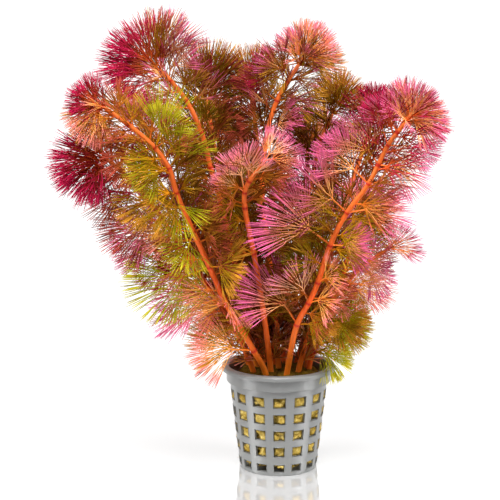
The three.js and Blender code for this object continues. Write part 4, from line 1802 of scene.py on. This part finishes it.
class Plant:
    """All the shoots, cut into stems, main whorls, crowns and small leaves."""

    BUD_RADIUS = 1.7 * MM
    SMALL_NUMBERS = 1000
    YOUNG_TO_FILLING = 10
    YOUNG_TO_LOW = 60
    YOUNG_TO_NEXT = 100
    LOW_START = 50 * MM
    LOW_END = 84 * MM
    LOW_SEED_STEP = 50
    LOW_LEAN = 24.0
    LOW_LENGTHS = (15.0, 24.0)
    LOW_TURNS = (0, 180)

    def __init__(self, shoots: dict[str, Shoot]) -> None:
        """Reads the table of shoots.

        Args:
            shoots: The shoots by their letters, in the order that numbers their leaves.
        """
        self.stems: list[Stem] = []
        self.foliage: list[Foliage] = []
        main, small = Counter(0), Counter(self.SMALL_NUMBERS)
        further = Counter(
            sum(len(leaves) for shoot in shoots.values() for leaves in (*shoot.whorls.values(), shoot.crown))
        )
        for letter, shoot in shoots.items():
            path = StemPath(np.array(shoot.route) * MM)
            self.stems.append(Stem(letter, path, tuple(sorted({*shoot.whorls, *shoot.small}))))
            self._add_main(letter, shoot, path, main, further)
            self._add_small(letter, shoot, path, main.value, small)

    def _add_main(
        self, letter: str, shoot: Shoot, path: StemPath, main: Counter, further: Counter
    ) -> None:
        """Adds the main whorls and the crown of a shoot.

        Args:
            letter: The shoot's letter.
            shoot: The shoot.
            path: Its stem's axis.
            main: Numbers the leaves of whorls and crowns.
            further: Numbers their further leaves.
        """
        last = len(shoot.route) - 1
        tip, along = path.at(last)
        crown_fan = (OPEN_CROWN_FAN if shoot.open_crown else CROWN_FAN).lit(shoot.light)
        groups = [
            (f"leaf_whorl_{letter}{at}", at, path.at(at)[0], leaves, WHORL_FAN.lit(shoot.light))
            for at, leaves in shoot.whorls.items()
        ]
        groups.append((f"leaf_crown_{letter}", last, tip + along * self.BUD_RADIUS, shoot.crown, crown_fan))
        for node, at, place, leaves, fan in groups:
            sites = [LeafSite(place, leaves, fan, main.take(len(leaves)))]
            more = shoot.further.get(at, ())
            if more:
                sites.append(LeafSite(place, more, FURTHER_FAN, further.take(len(more))))
            self.foliage.append(Foliage(f"{node}_threads", tuple(sites), node))

    def _add_small(self, letter: str, shoot: Shoot, path: StemPath, seed: int, small: Counter) -> None:
        """Adds the small leaves of a shoot as one piece.

        Args:
            letter: The shoot's letter.
            shoot: The shoot.
            path: Its stem's axis.
            seed: Seed of the filling.
            small: Numbers the small leaves.
        """
        fan = SMALL_FAN.lit(shoot.light)
        sites = [
            LeafSite(path.at(at)[0], leaves, fan, small.take(len(leaves)))
            for at, leaves in shoot.small.items()
        ]
        filling = Filling(path, shoot.filling, seed, shoot.bare * MM, spacing=shoot.spacing * MM)
        if shoot.low:
            low = replace(
                filling, tints=shoot.low, seed=seed + self.LOW_SEED_STEP, start=self.LOW_START,
                end=min(filling.start, self.LOW_END), lean=self.LOW_LEAN, lengths=self.LOW_LENGTHS,
                turns=self.LOW_TURNS,
            )
            sites += low.sites(small.value + self.YOUNG_TO_LOW)
        if shoot.young:
            sites.append(filling.young(shoot.crown, shoot.young, small.value))
        sites += filling.sites(small.value + self.YOUNG_TO_FILLING)
        small.take(self.YOUNG_TO_NEXT)
        self.foliage.append(Foliage(f"small_leaves_{letter}", tuple(sites), None))

    def build(self) -> None:
        """Builds every piece of the plant and fastens it to the frame."""
        stem_sweep = SweepTree("Sweep stems", [STEM_FINISH.material()])
        for stem in self.stems:
            obj = stem.build(stem_sweep)
            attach(obj, ROOT_BODY)
            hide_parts(f"stem_{stem.letter}")
            report(obj)
        leaf_sweep = SweepTree("Sweep threads", [THREAD_FINISHES[tint].material() for tint in Tint])
        total = 0
        for piece in self.foliage:
            obj = piece.build(leaf_sweep)
            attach(obj, ROOT_BODY)
            if piece.node:
                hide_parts(piece.node)
            total += report(obj)
        LOG.info("foliage in all: %d triangles", total)


def report(obj: bpy.types.Object) -> int:
    """Logs a finished piece.

    Args:
        obj: The piece.

    Returns:
        Its number of triangles.
    """
    triangles = sum(polygon.loop_total - 2 for polygon in obj.data.polygons)
    LOG.info("%s: %d triangles", obj.name, triangles)
    return triangles


# Net pot.


@dataclass(frozen=True)
class NetPot:
    """A moulded basket: a closed floor, a tapered wall with rows of windows, a ledge and a lip.

    It is one closed shell. Stations run from the middle of the floor outwards and up the wall, and
    each has an outer and an inner ring. A cell between two stations and two columns may be open.
    """

    BASE_RADIUS = 18.4 * MM
    LEDGE_RADIUS = 23.3 * MM
    LEDGE_HEIGHT = 42 * MM
    COLLAR_RADIUS = 25 * MM
    LIP_RADIUS = 27.3 * MM
    LIP_DEPTH = 2.5 * MM
    HEIGHT = 50 * MM
    WALL = 1.2 * MM
    FLOOR = 1.6 * MM
    COLUMNS = 14
    WINDOW_ANGLE = 15.0
    STEPS = 4
    ROW_HEIGHTS = (3.7 * MM, 4.9 * MM, 4.9 * MM, 4.9 * MM, 4.9 * MM)
    ROW_PITCH = 8.2 * MM
    BOTTOM_CENTRE = 3.7 * MM
    FLOOR_RADII = (2 * MM, 10 * MM)
    FLOOR_STEP = 0.2 * MM
    LEDGE_RISE, LEDGE_RISE_INSIDE = 0.5 * MM, 1.4 * MM
    LIP_RISE, LIP_RISE_INSIDE = 0.3 * MM, 0.5 * MM
    LIP_CHAMFER = 0.7 * MM
    RIM_CHAMFER = 0.4 * MM
    RIM_DROPS = (1.2 * MM, 0.8 * MM, 0.4 * MM)
    EDGE = 0.28 * MM
    EDGE_SEGMENTS = 3
    SHARP = 35

    def build(self) -> bpy.types.Object:
        """Builds the pot.

        Returns:
            The pot's object.
        """
        outer, inner, open_rows = self._stations()
        angles, open_columns = self._columns()
        mesh = self._shell(outer, inner, open_rows, angles, open_columns)
        obj = add_object("net_pot_shell", mesh)
        bevel = obj.modifiers.new("Rounded edges", "BEVEL")
        bevel.width = self.EDGE
        bevel.segments = self.EDGE_SEGMENTS
        bevel.limit_method = "ANGLE"
        bevel.angle_limit = math.radians(self.SHARP)
        bevel.use_clamp_overlap = True
        plain = baked(obj, "net_pot")
        plain.data.materials.append(POT_FINISH.material())
        return smooth(plain)

    def wall_radius(self, height: float) -> float:
        """Outer radius of the tapered wall."""
        share = height / self.LEDGE_HEIGHT
        return self.BASE_RADIUS + (self.LEDGE_RADIUS - self.BASE_RADIUS) * share

    def window_room(self, angle: float, radius: float, height: float) -> float:
        """How far inside the nearest window a point at the wall lies.

        Args:
            angle: Turn about +Z in radians.
            radius: Distance from the axis.
            height: Height above the base.

        Returns:
            The distance to the window's nearest edge, below zero outside it.
        """
        pitch = 2 * math.pi / self.COLUMNS
        column = (angle + math.pi / 2) / pitch
        aside = abs(column - round(column)) * pitch
        across = (math.radians(self.WINDOW_ANGLE / 2) - aside) * radius
        upright = (
            tall / 2 - abs(height - self.BOTTOM_CENTRE - row * self.ROW_PITCH)
            for row, tall in enumerate(self.ROW_HEIGHTS)
        )
        return min(across, max(upright))

    def _stations(self) -> tuple[Rings, Rings, set[int]]:
        """Radius and height of every station's outer and inner ring.

        Returns:
            The outer rings, the inner rings, and the numbers of the stations after which a cell may
            be a window.
        """
        outer = [(radius, 0.0) for radius in self.FLOOR_RADII]
        inner = [(radius, self.FLOOR) for radius in self.FLOOR_RADII]
        windows = set()
        outer.append((self.BASE_RADIUS, 0.0))
        inner.append((self.BASE_RADIUS - self.WALL, self.FLOOR))
        for row, tall in enumerate(self.ROW_HEIGHTS):
            centre = self.BOTTOM_CENTRE + row * self.ROW_PITCH
            windows.add(len(outer))
            for height in (centre - tall / 2, centre + tall / 2):
                radius = self.wall_radius(height)
                outer.append((radius, height))
                inner.append((radius - self.WALL, max(height, self.FLOOR + self.FLOOR_STEP)))
        collar_inside = self.COLLAR_RADIUS - self.WALL
        lip_bottom = self.HEIGHT - self.LIP_DEPTH
        outer += [
            (self.LEDGE_RADIUS, self.LEDGE_HEIGHT),
            (self.COLLAR_RADIUS, self.LEDGE_HEIGHT + self.LEDGE_RISE),
            (self.COLLAR_RADIUS, lip_bottom),
            (self.LIP_RADIUS, lip_bottom + self.LIP_RISE),
            (self.LIP_RADIUS, self.HEIGHT - self.LIP_CHAMFER),
            (self.LIP_RADIUS - self.LIP_CHAMFER, self.HEIGHT),
            (collar_inside + self.RIM_CHAMFER, self.HEIGHT),
        ]
        inner += [
            (self.LEDGE_RADIUS - self.WALL, self.LEDGE_HEIGHT),
            (collar_inside, self.LEDGE_HEIGHT + self.LEDGE_RISE_INSIDE),
            (collar_inside, lip_bottom),
            (collar_inside, lip_bottom + self.LIP_RISE_INSIDE),
            *((collar_inside, self.HEIGHT - drop) for drop in self.RIM_DROPS),
        ]
        return outer, inner, windows

    def _columns(self) -> tuple[np.ndarray, set[int]]:
        """Angle of every column, and which cells are a window's width.

        Returns:
            The angles, and the numbers of the columns after which a cell may be open.
        """
        pitch = 2 * math.pi / self.COLUMNS
        half = math.radians(self.WINDOW_ANGLE) / 2
        angles, opened = [], set()
        for column in range(self.COLUMNS):
            centre = -math.pi / 2 + column * pitch
            for step in range(self.STEPS):
                opened.add(len(angles))
                angles.append(centre - half + 2 * half * step / self.STEPS)
            for step in range(self.STEPS):
                angles.append(centre + half + (pitch - 2 * half) * step / self.STEPS)
        return np.array(angles), opened

    def _shell(
        self,
        outer: Rings,
        inner: Rings,
        open_rows: set[int],
        angles: np.ndarray,
        open_columns: set[int],
    ) -> bpy.types.Mesh:
        """Joins the rings into one closed mesh with its openings.

        Args:
            outer: Radius and height of the outer rings.
            inner: Radius and height of the inner rings.
            open_rows: Stations after which a cell may be a window.
            angles: The columns' angles.
            open_columns: Columns after which a cell may be open.

        Returns:
            The mesh.
        """
        around = len(angles)
        vertices = [
            (radius * math.cos(angle), radius * math.sin(angle), height)
            for rings in (outer, inner)
            for radius, height in rings
            for angle in angles
        ]
        inside = len(outer) * around

        def is_open(row: int, column: int) -> bool:
            """Whether the cell after a station and a column is a window."""
            return row in open_rows and column % around in open_columns

        def at(row: int, column: int, side: int) -> int:
            """Number of a vertex."""
            return side * inside + row * around + column % around

        faces = []
        last = len(outer) - 1
        for row in range(last):
            for column in range(around):
                if is_open(row, column):
                    self._reveal(faces, at, is_open, row, column)
                    continue
                corners = ((row, column), (row, column + 1), (row + 1, column + 1), (row + 1, column))
                faces.append([at(*corner, 0) for corner in corners])
                faces.append([at(*corner, 1) for corner in reversed(corners)])
        for column in range(around):
            rim = ((column, 0), (column + 1, 0), (column + 1, 1), (column, 1))
            faces.append([at(last, *corner) for corner in rim])
        faces.append([at(0, column, 0) for column in reversed(range(around))])
        faces.append([at(0, column, 1) for column in range(around)])
        mesh = bpy.data.meshes.new("net_pot_shell")
        mesh.from_pydata(vertices, [], faces)
        return mesh

    @staticmethod
    def _reveal(
        faces: list[list[int]],
        at: Callable[[int, int, int], int],
        is_open: Callable[[int, int], bool],
        row: int,
        column: int,
    ) -> None:
        """Adds the cut faces round one open cell, where its neighbour is solid.

        Args:
            faces: The list of faces.
            at: Gives a vertex number.
            is_open: Says whether a cell is open.
            row: The cell's station.
            column: The cell's column.
        """
        below, above = (row, row), (row + 1, row + 1)
        before, after = (column, column), (column + 1, column + 1)
        edges = (
            ((row - 1, column), (below, (column + 1, column))),
            ((row + 1, column), (above, (column, column + 1))),
            ((row, column - 1), ((row, row + 1), before)),
            ((row, column + 1), ((row + 1, row), after)),
        )
        for neighbour, (rows, columns) in edges:
            if not is_open(*neighbour):
                start, end = zip(rows, columns)
                faces.append([at(*start, 0), at(*end, 0), at(*end, 1), at(*start, 1)])


# Rock wool.


@dataclass(frozen=True)
class WoolPlug:
    """The mineral wool plug: a tapered lumpy block with seams, and loose fibres on its skin."""

    BOTTOM = 3.6 * MM
    TOP = 47.6 * MM
    CLEARANCE = 1.5 * MM
    BULGE = 1.5 * MM
    BULGE_EDGE = 0.5 * MM
    SHOULDER_START = 37 * MM
    SHOULDER_PULL = 3.2 * MM
    AROUND = 200
    UP = 70
    ACROSS = 40
    UNDERSIDE = (0.04, 0.94, 14)
    FOOT_RISE = 0.5 * MM
    SHOULDER_STEPS = 16
    SHOULDER_GAIN = 1.2
    TOP_SHARES = (0.96, 0.02)
    SKIN_DEPTH = 1.2
    LUMPS = ((190.0, 0.85 * MM), (900.0, 0.35 * MM))
    LUMP_DETAIL = 2.0
    LUMP_MIDDLE = 0.58
    LUMP_GAIN = 4
    FIBRE_COUNT = 2000
    FIBRE_AREA = 2 * math.pi * 21 * MM * 40 * MM
    FIBRE_LENGTH = 3.2 * MM
    FIBRE_GIRTH = 0.045 * MM
    FIBRE_STEPS = 4
    FIBRE_SIDES = 3
    FIBRE_TILT = 0.35
    FIBRE_BEND = {
        "Start": (-0.5, 0.0, -0.1 * MM),
        "Start Handle": (-0.25, 0.2, 0.5 * MM),
        "End Handle": (0.25, -0.15, 0.6 * MM),
        "End": (0.5, 0.1, 0.15 * MM),
    }
    SOWING_SEED, SPIN_SEED = 7, 3
    SEAMS = (-1.62, -0.72, 0.25, 1.3, 2.3, 3.35, 4.1)
    SEAM_WANDERS = ((0.1, 0.31, 0.0), (0.05, 0.83, 1.0))
    SEAM_WIDTH = 0.055
    SEAM_DEPTH = 1.5 * MM
    SEAM_FADE = 15 * MM
    SEAM_TURN = 0.7

    def build(self) -> bpy.types.Object:
        """Builds the plug.

        Returns:
            The plug's object.
        """
        holder = add_object("mineral_wool_block", self._block())
        modifier = holder.modifiers.new("Wool", "NODES")
        modifier.node_group = self._tree(WOOL_FINISH.material())
        return smooth(baked(holder, "mineral_wool"))

    def _profile(self) -> list[tuple[float, float]]:
        """Radius and height from the middle of the underside to the middle of the top.

        Returns:
            The points of the profile.
        """
        pot = NetPot()

        def fit(height: float) -> float:
            """Radius of the wool inside the pot's wall."""
            return pot.wall_radius(height) - self.CLEARANCE

        points = [(fit(self.BOTTOM) * share, self.BOTTOM) for share in np.linspace(*self.UNDERSIDE)]
        for height in np.linspace(self.BOTTOM + self.FOOT_RISE, self.SHOULDER_START, self.UP):
            points.append((fit(height), height))
        rise = self.TOP - self.SHOULDER_START
        for share in np.linspace(0, 1, self.SHOULDER_STEPS)[1:]:
            angle = share * math.pi / 2
            pull = self.SHOULDER_PULL * (1 - math.cos(angle)) * self.SHOULDER_GAIN
            points.append((fit(self.SHOULDER_START) - pull, self.SHOULDER_START + rise * math.sin(angle)))
        edge = points[-1][0]
        points += [(edge * share, self.TOP) for share in np.linspace(*self.TOP_SHARES, self.ACROSS)]
        return points

    def _bulge(self, angle: float, radius: float, height: float) -> float:
        """How far the wool swells into the nearest window of the pot.

        Args:
            angle: Turn about +Z in radians.
            radius: Distance from the axis.
            height: Height above the base.

        Returns:
            The swelling.
        """
        pot = NetPot()
        room = pot.window_room(angle, radius, height)
        if room <= 0 or radius < pot.wall_radius(height) - self.SKIN_DEPTH * self.CLEARANCE:
            return 0.0
        return self.BULGE * min(1.0, room / self.BULGE_EDGE)

    def _block(self) -> bpy.types.Mesh:
        """The plain closed block, with its seams pressed in.

        Returns:
            The mesh.
        """
        profile = self._profile()
        angles = np.arange(self.AROUND) * 2 * math.pi / self.AROUND
        vertices = []
        for radius, height in profile:
            for angle in angles:
                pressed, lowered = self._seam(angle, radius, height)
                pressed -= self._bulge(angle, radius, height)
                out = radius - pressed
                vertices.append((out * math.cos(angle), out * math.sin(angle), height - lowered))
        faces = []
        for row in range(len(profile) - 1):
            for column in range(self.AROUND):
                after = (column + 1) % self.AROUND
                start, above = row * self.AROUND, (row + 1) * self.AROUND
                faces.append((start + column, start + after, above + after, above + column))
        faces.append(tuple(reversed(range(self.AROUND))))
        top = (len(profile) - 1) * self.AROUND
        faces.append(tuple(top + column for column in range(self.AROUND)))
        mesh = bpy.data.meshes.new("mineral_wool_block")
        mesh.from_pydata(vertices, [], faces)
        return mesh

    def _seam(self, angle: float, radius: float, height: float) -> tuple[float, float]:
        """How far the skin is pressed in where two wrapped strips of wool meet.

        Args:
            angle: Angle of the point.
            radius: Radius of the point.
            height: Height of the point.

        Returns:
            How far it goes towards the axis, and how far down.
        """
        wander = sum(size * math.sin(height / MM * rate + shift) for size, rate, shift in self.SEAM_WANDERS)
        depth = 0.0
        for number, seam in enumerate(self.SEAMS):
            gap = (angle - seam - wander * (1 if number % 2 else -1) + math.pi) % (2 * math.pi) - math.pi
            depth += math.exp(-((gap / self.SEAM_WIDTH) ** 2))
        side = min(1.0, radius / self.SEAM_FADE) * self.SEAM_DEPTH * min(1.0, depth)
        on_top = max(0.0, (height - self.SHOULDER_START) / (self.TOP - self.SHOULDER_START))
        return side * (1 - self.SEAM_TURN * on_top), side * on_top

    def _tree(self, material: bpy.types.Material) -> Tree:
        """A tree that makes the block lumpy and sows fibres over it.

        Args:
            material: The wool's material.

        Returns:
            The tree.
        """
        tree = bpy.data.node_groups.new("Mineral wool", "GeometryNodeTree")
        tree.interface.new_socket("Block", in_out="INPUT", socket_type="NodeSocketGeometry")
        tree.interface.new_socket("Wool", in_out="OUTPUT", socket_type="NodeSocketGeometry")
        geometry = add_node(tree, "NodeGroupInput").outputs["Block"]
        for scale, amount in self.LUMPS:
            geometry = self._lumpy(tree, geometry, scale, amount)
        join = add_node(tree, "GeometryNodeJoinGeometry", {"Geometry": self._fibres(tree, geometry)})
        tree.links.new(geometry, join.inputs["Geometry"])
        realize = add_node(tree, "GeometryNodeRealizeInstances", {"Geometry": join.outputs["Geometry"]})
        inputs = {"Geometry": realize.outputs["Geometry"], "Material": material}
        finish = add_node(tree, "GeometryNodeSetMaterial", inputs)
        add_node(tree, "NodeGroupOutput", {"Wool": finish.outputs["Geometry"]})
        return tree

    def _lumpy(self, tree: Tree, geometry: Socket, scale: float, amount: float) -> Socket:
        """Moves a surface in and out along its normals by a noise.

        Args:
            tree: The tree.
            geometry: The surface.
            scale: Waves of the noise per metre.
            amount: Size of the lumps in metres.

        Returns:
            The lumpy surface.
        """
        noise = add_node(tree, "ShaderNodeTexNoise", {"Scale": scale, "Detail": self.LUMP_DETAIL})
        inputs = {0: noise.outputs["Fac"], 1: self.LUMP_MIDDLE}
        centred = add_node(tree, "ShaderNodeMath", inputs, operation="SUBTRACT")
        inputs = {0: centred.outputs["Value"], 1: self.LUMP_GAIN * amount}
        amplified = add_node(tree, "ShaderNodeMath", inputs, operation="MULTIPLY")
        normal = add_node(tree, "GeometryNodeInputNormal").outputs["Normal"]
        inputs = {0: normal, "Scale": amplified.outputs["Value"]}
        along = add_node(tree, "ShaderNodeVectorMath", inputs, operation="SCALE")
        inputs = {"Geometry": geometry, "Offset": along.outputs["Vector"]}
        return add_node(tree, "GeometryNodeSetPosition", inputs).outputs["Geometry"]

    def _fibres(self, tree: Tree, geometry: Socket) -> Socket:
        """Sows bent fibres over a surface.

        Args:
            tree: The tree.
            geometry: The surface.

        Returns:
            The fibres as instances.
        """
        density = self.FIBRE_COUNT / self.FIBRE_AREA
        inputs = {"Mesh": geometry, "Density": density, "Seed": self.SOWING_SEED}
        sow = add_node(tree, "GeometryNodeDistributePointsOnFaces", inputs)
        inputs = {"Resolution": self.FIBRE_STEPS}
        for end, (out, aside, up) in self.FIBRE_BEND.items():
            inputs[end] = (self.FIBRE_LENGTH * out, self.FIBRE_LENGTH * aside, up)
        fibre = add_node(tree, "GeometryNodeCurvePrimitiveBezierSegment", inputs)
        inputs = {"Resolution": self.FIBRE_SIDES, "Radius": self.FIBRE_GIRTH}
        section = add_node(tree, "GeometryNodeCurvePrimitiveCircle", inputs).outputs["Curve"]
        inputs = {"Fill Caps": True, "Curve": fibre.outputs["Curve"], "Profile Curve": section}
        tube = add_node(tree, "GeometryNodeCurveToMesh", inputs)
        inputs = {
            "Min": (-self.FIBRE_TILT, -self.FIBRE_TILT, -math.pi),
            "Max": (self.FIBRE_TILT, self.FIBRE_TILT, math.pi),
            "Seed": self.SPIN_SEED,
        }
        spin = add_node(tree, "FunctionNodeRandomValue", inputs, data_type="FLOAT_VECTOR")
        inputs = {"Rotation": sow.outputs["Rotation"], "Rotate By": spin.outputs["Value"]}
        turn = add_node(tree, "FunctionNodeRotateRotation", inputs, rotation_space="LOCAL")
        inputs = {
            "Points": sow.outputs["Points"], "Instance": tube.outputs["Mesh"],
            "Rotation": turn.outputs["Rotation"],
        }
        return add_node(tree, "GeometryNodeInstanceOnPoints", inputs).outputs["Instances"]


# Studio.


@dataclass(frozen=True)
class SoftBox:
    """A soft area light that looks at a point of the plant.

    Attributes:
        name: The light's name.
        place: Where it stands, in metres.
        size: Its side in metres.
        power: Its power in watts.
    """

    name: str
    place: Point
    size: float
    power: float

    TARGET = np.array((0.0, 0.0, 0.1))

    def build(self) -> None:
        """Adds the light to the scene."""
        data = bpy.data.lights.new(self.name, "AREA")
        data.shape = "SQUARE"
        data.size = self.size
        data.energy = self.power
        light = add_object(self.name, data)
        light.location = self.place
        out, aside, up = self.TARGET - np.array(self.place)
        light.rotation_euler = (math.atan2(math.hypot(out, aside), -up), 0, math.atan2(-out, aside))


@dataclass(frozen=True)
class Studio:
    """A pale floor, a white surround, soft lights and the camera."""

    CAMERA_PLACE = (-13.7 * MM, -604 * MM, 199 * MM)
    CAMERA_PITCH = 0.154
    FOCAL_PIXELS = 1290
    PICTURE_PIXELS = 500
    SENSOR = 36.0
    NEAREST_SEEN = 0.05
    FLOOR_SIDE = 0.4
    FLOOR_DROP = 0.05 * MM
    # Painted light: the floor is darker at the front and lighter towards the back, where the boxes light it
    # less.
    FLOOR_PAINTED_LIGHT = (0xCCCCCC, 0xF8F8F8)
    FLOOR_ROUGHNESS = 0.06
    FLOOR_SHINE = 0.5
    FLOOR_IOR = 6.5
    BACKDROP = 0xFFFFFF
    BACKDROP_STRENGTH = 1.2
    ROOM = 0x4C4C4C
    ROOM_EDGE = (0.5, 0.86)
    BOXES = (
        SoftBox("Left soft box", (-0.8, -0.3, 0.45), 0.45, 9.0),
        SoftBox("Right soft box", (0.8, -0.3, 0.45), 0.45, 8.2),
        SoftBox("Top soft box", (0.0, -0.5, 0.92), 0.45, 12.5),
    )

    def build(self) -> None:
        """Sets up the studio and the camera."""
        self._floor()
        self._surround()
        for box in self.BOXES:
            box.build()
        self._camera()

    def _floor(self) -> None:
        """Adds the floor, which mirrors a little and has painted light that grows towards the back."""
        half = self.FLOOR_SIDE / 2
        mesh = bpy.data.meshes.new("floor")
        corners = [(-half, -half, 0), (half, -half, 0), (half, half, 0), (-half, half, 0)]
        mesh.from_pydata(corners, [], [(0, 1, 2, 3)])
        floor = add_object("floor", mesh)
        floor.location.z = -self.FLOOR_DROP
        material, tree, surface = blank_material("Pale floor", self.FLOOR_ROUGHNESS, self.FLOOR_SHINE)
        # Painted light: lighter towards the back.
        depth = risen(tree, "Object", "Y", (0.0, half))
        colour = ramped(tree, depth, (0.0, 1.0), self.FLOOR_PAINTED_LIGHT)
        tree.links.new(colour, surface.inputs["Base Color"])
        surface.inputs["IOR"].default_value = self.FLOOR_IOR
        mesh.materials.append(material)

    def _surround(self) -> None:
        """Lights the scene from a white backdrop, with a dimmer room behind the camera."""
        world = bpy.data.worlds.new("Studio")
        world.use_nodes = True
        tree = world.node_tree
        depth = risen(tree, "Generated", "Y", (-1.0, 1.0))
        light = tree.nodes["Background"]
        tree.links.new(ramped(tree, depth, self.ROOM_EDGE, (self.ROOM, self.BACKDROP)), light.inputs["Color"])
        light.inputs["Strength"].default_value = self.BACKDROP_STRENGTH
        bpy.context.scene.world = world

    def _camera(self) -> None:
        """Adds the camera that the photograph was fitted with."""
        data = bpy.data.cameras.new("Camera")
        data.sensor_width = self.SENSOR
        data.lens = self.SENSOR * self.FOCAL_PIXELS / self.PICTURE_PIXELS
        data.clip_start = self.NEAREST_SEEN
        camera = add_object("Camera", data)
        camera.location = self.CAMERA_PLACE
        camera.rotation_euler = (math.pi / 2 - self.CAMERA_PITCH, 0, 0)
        bpy.context.scene.camera = camera


def write_size() -> None:
    """Updates the view layer."""
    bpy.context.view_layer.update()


def main() -> None:
    """Builds the whole scene in order."""
    logging.basicConfig(level=logging.INFO, format="%(message)s")
    bpy.context.scene.view_settings.view_transform = "Standard"
    pot = NetPot().build()
    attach(pot, ROOT_BODY)
    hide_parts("pot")
    report(pot)
    wool = WoolPlug().build()
    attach(wool, ROOT_BODY)
    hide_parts("rock_wool")
    report(wool)
    Plant(SHOOTS).build()
    Studio().build()
    write_size()


if __name__ == "__main__":
    main()
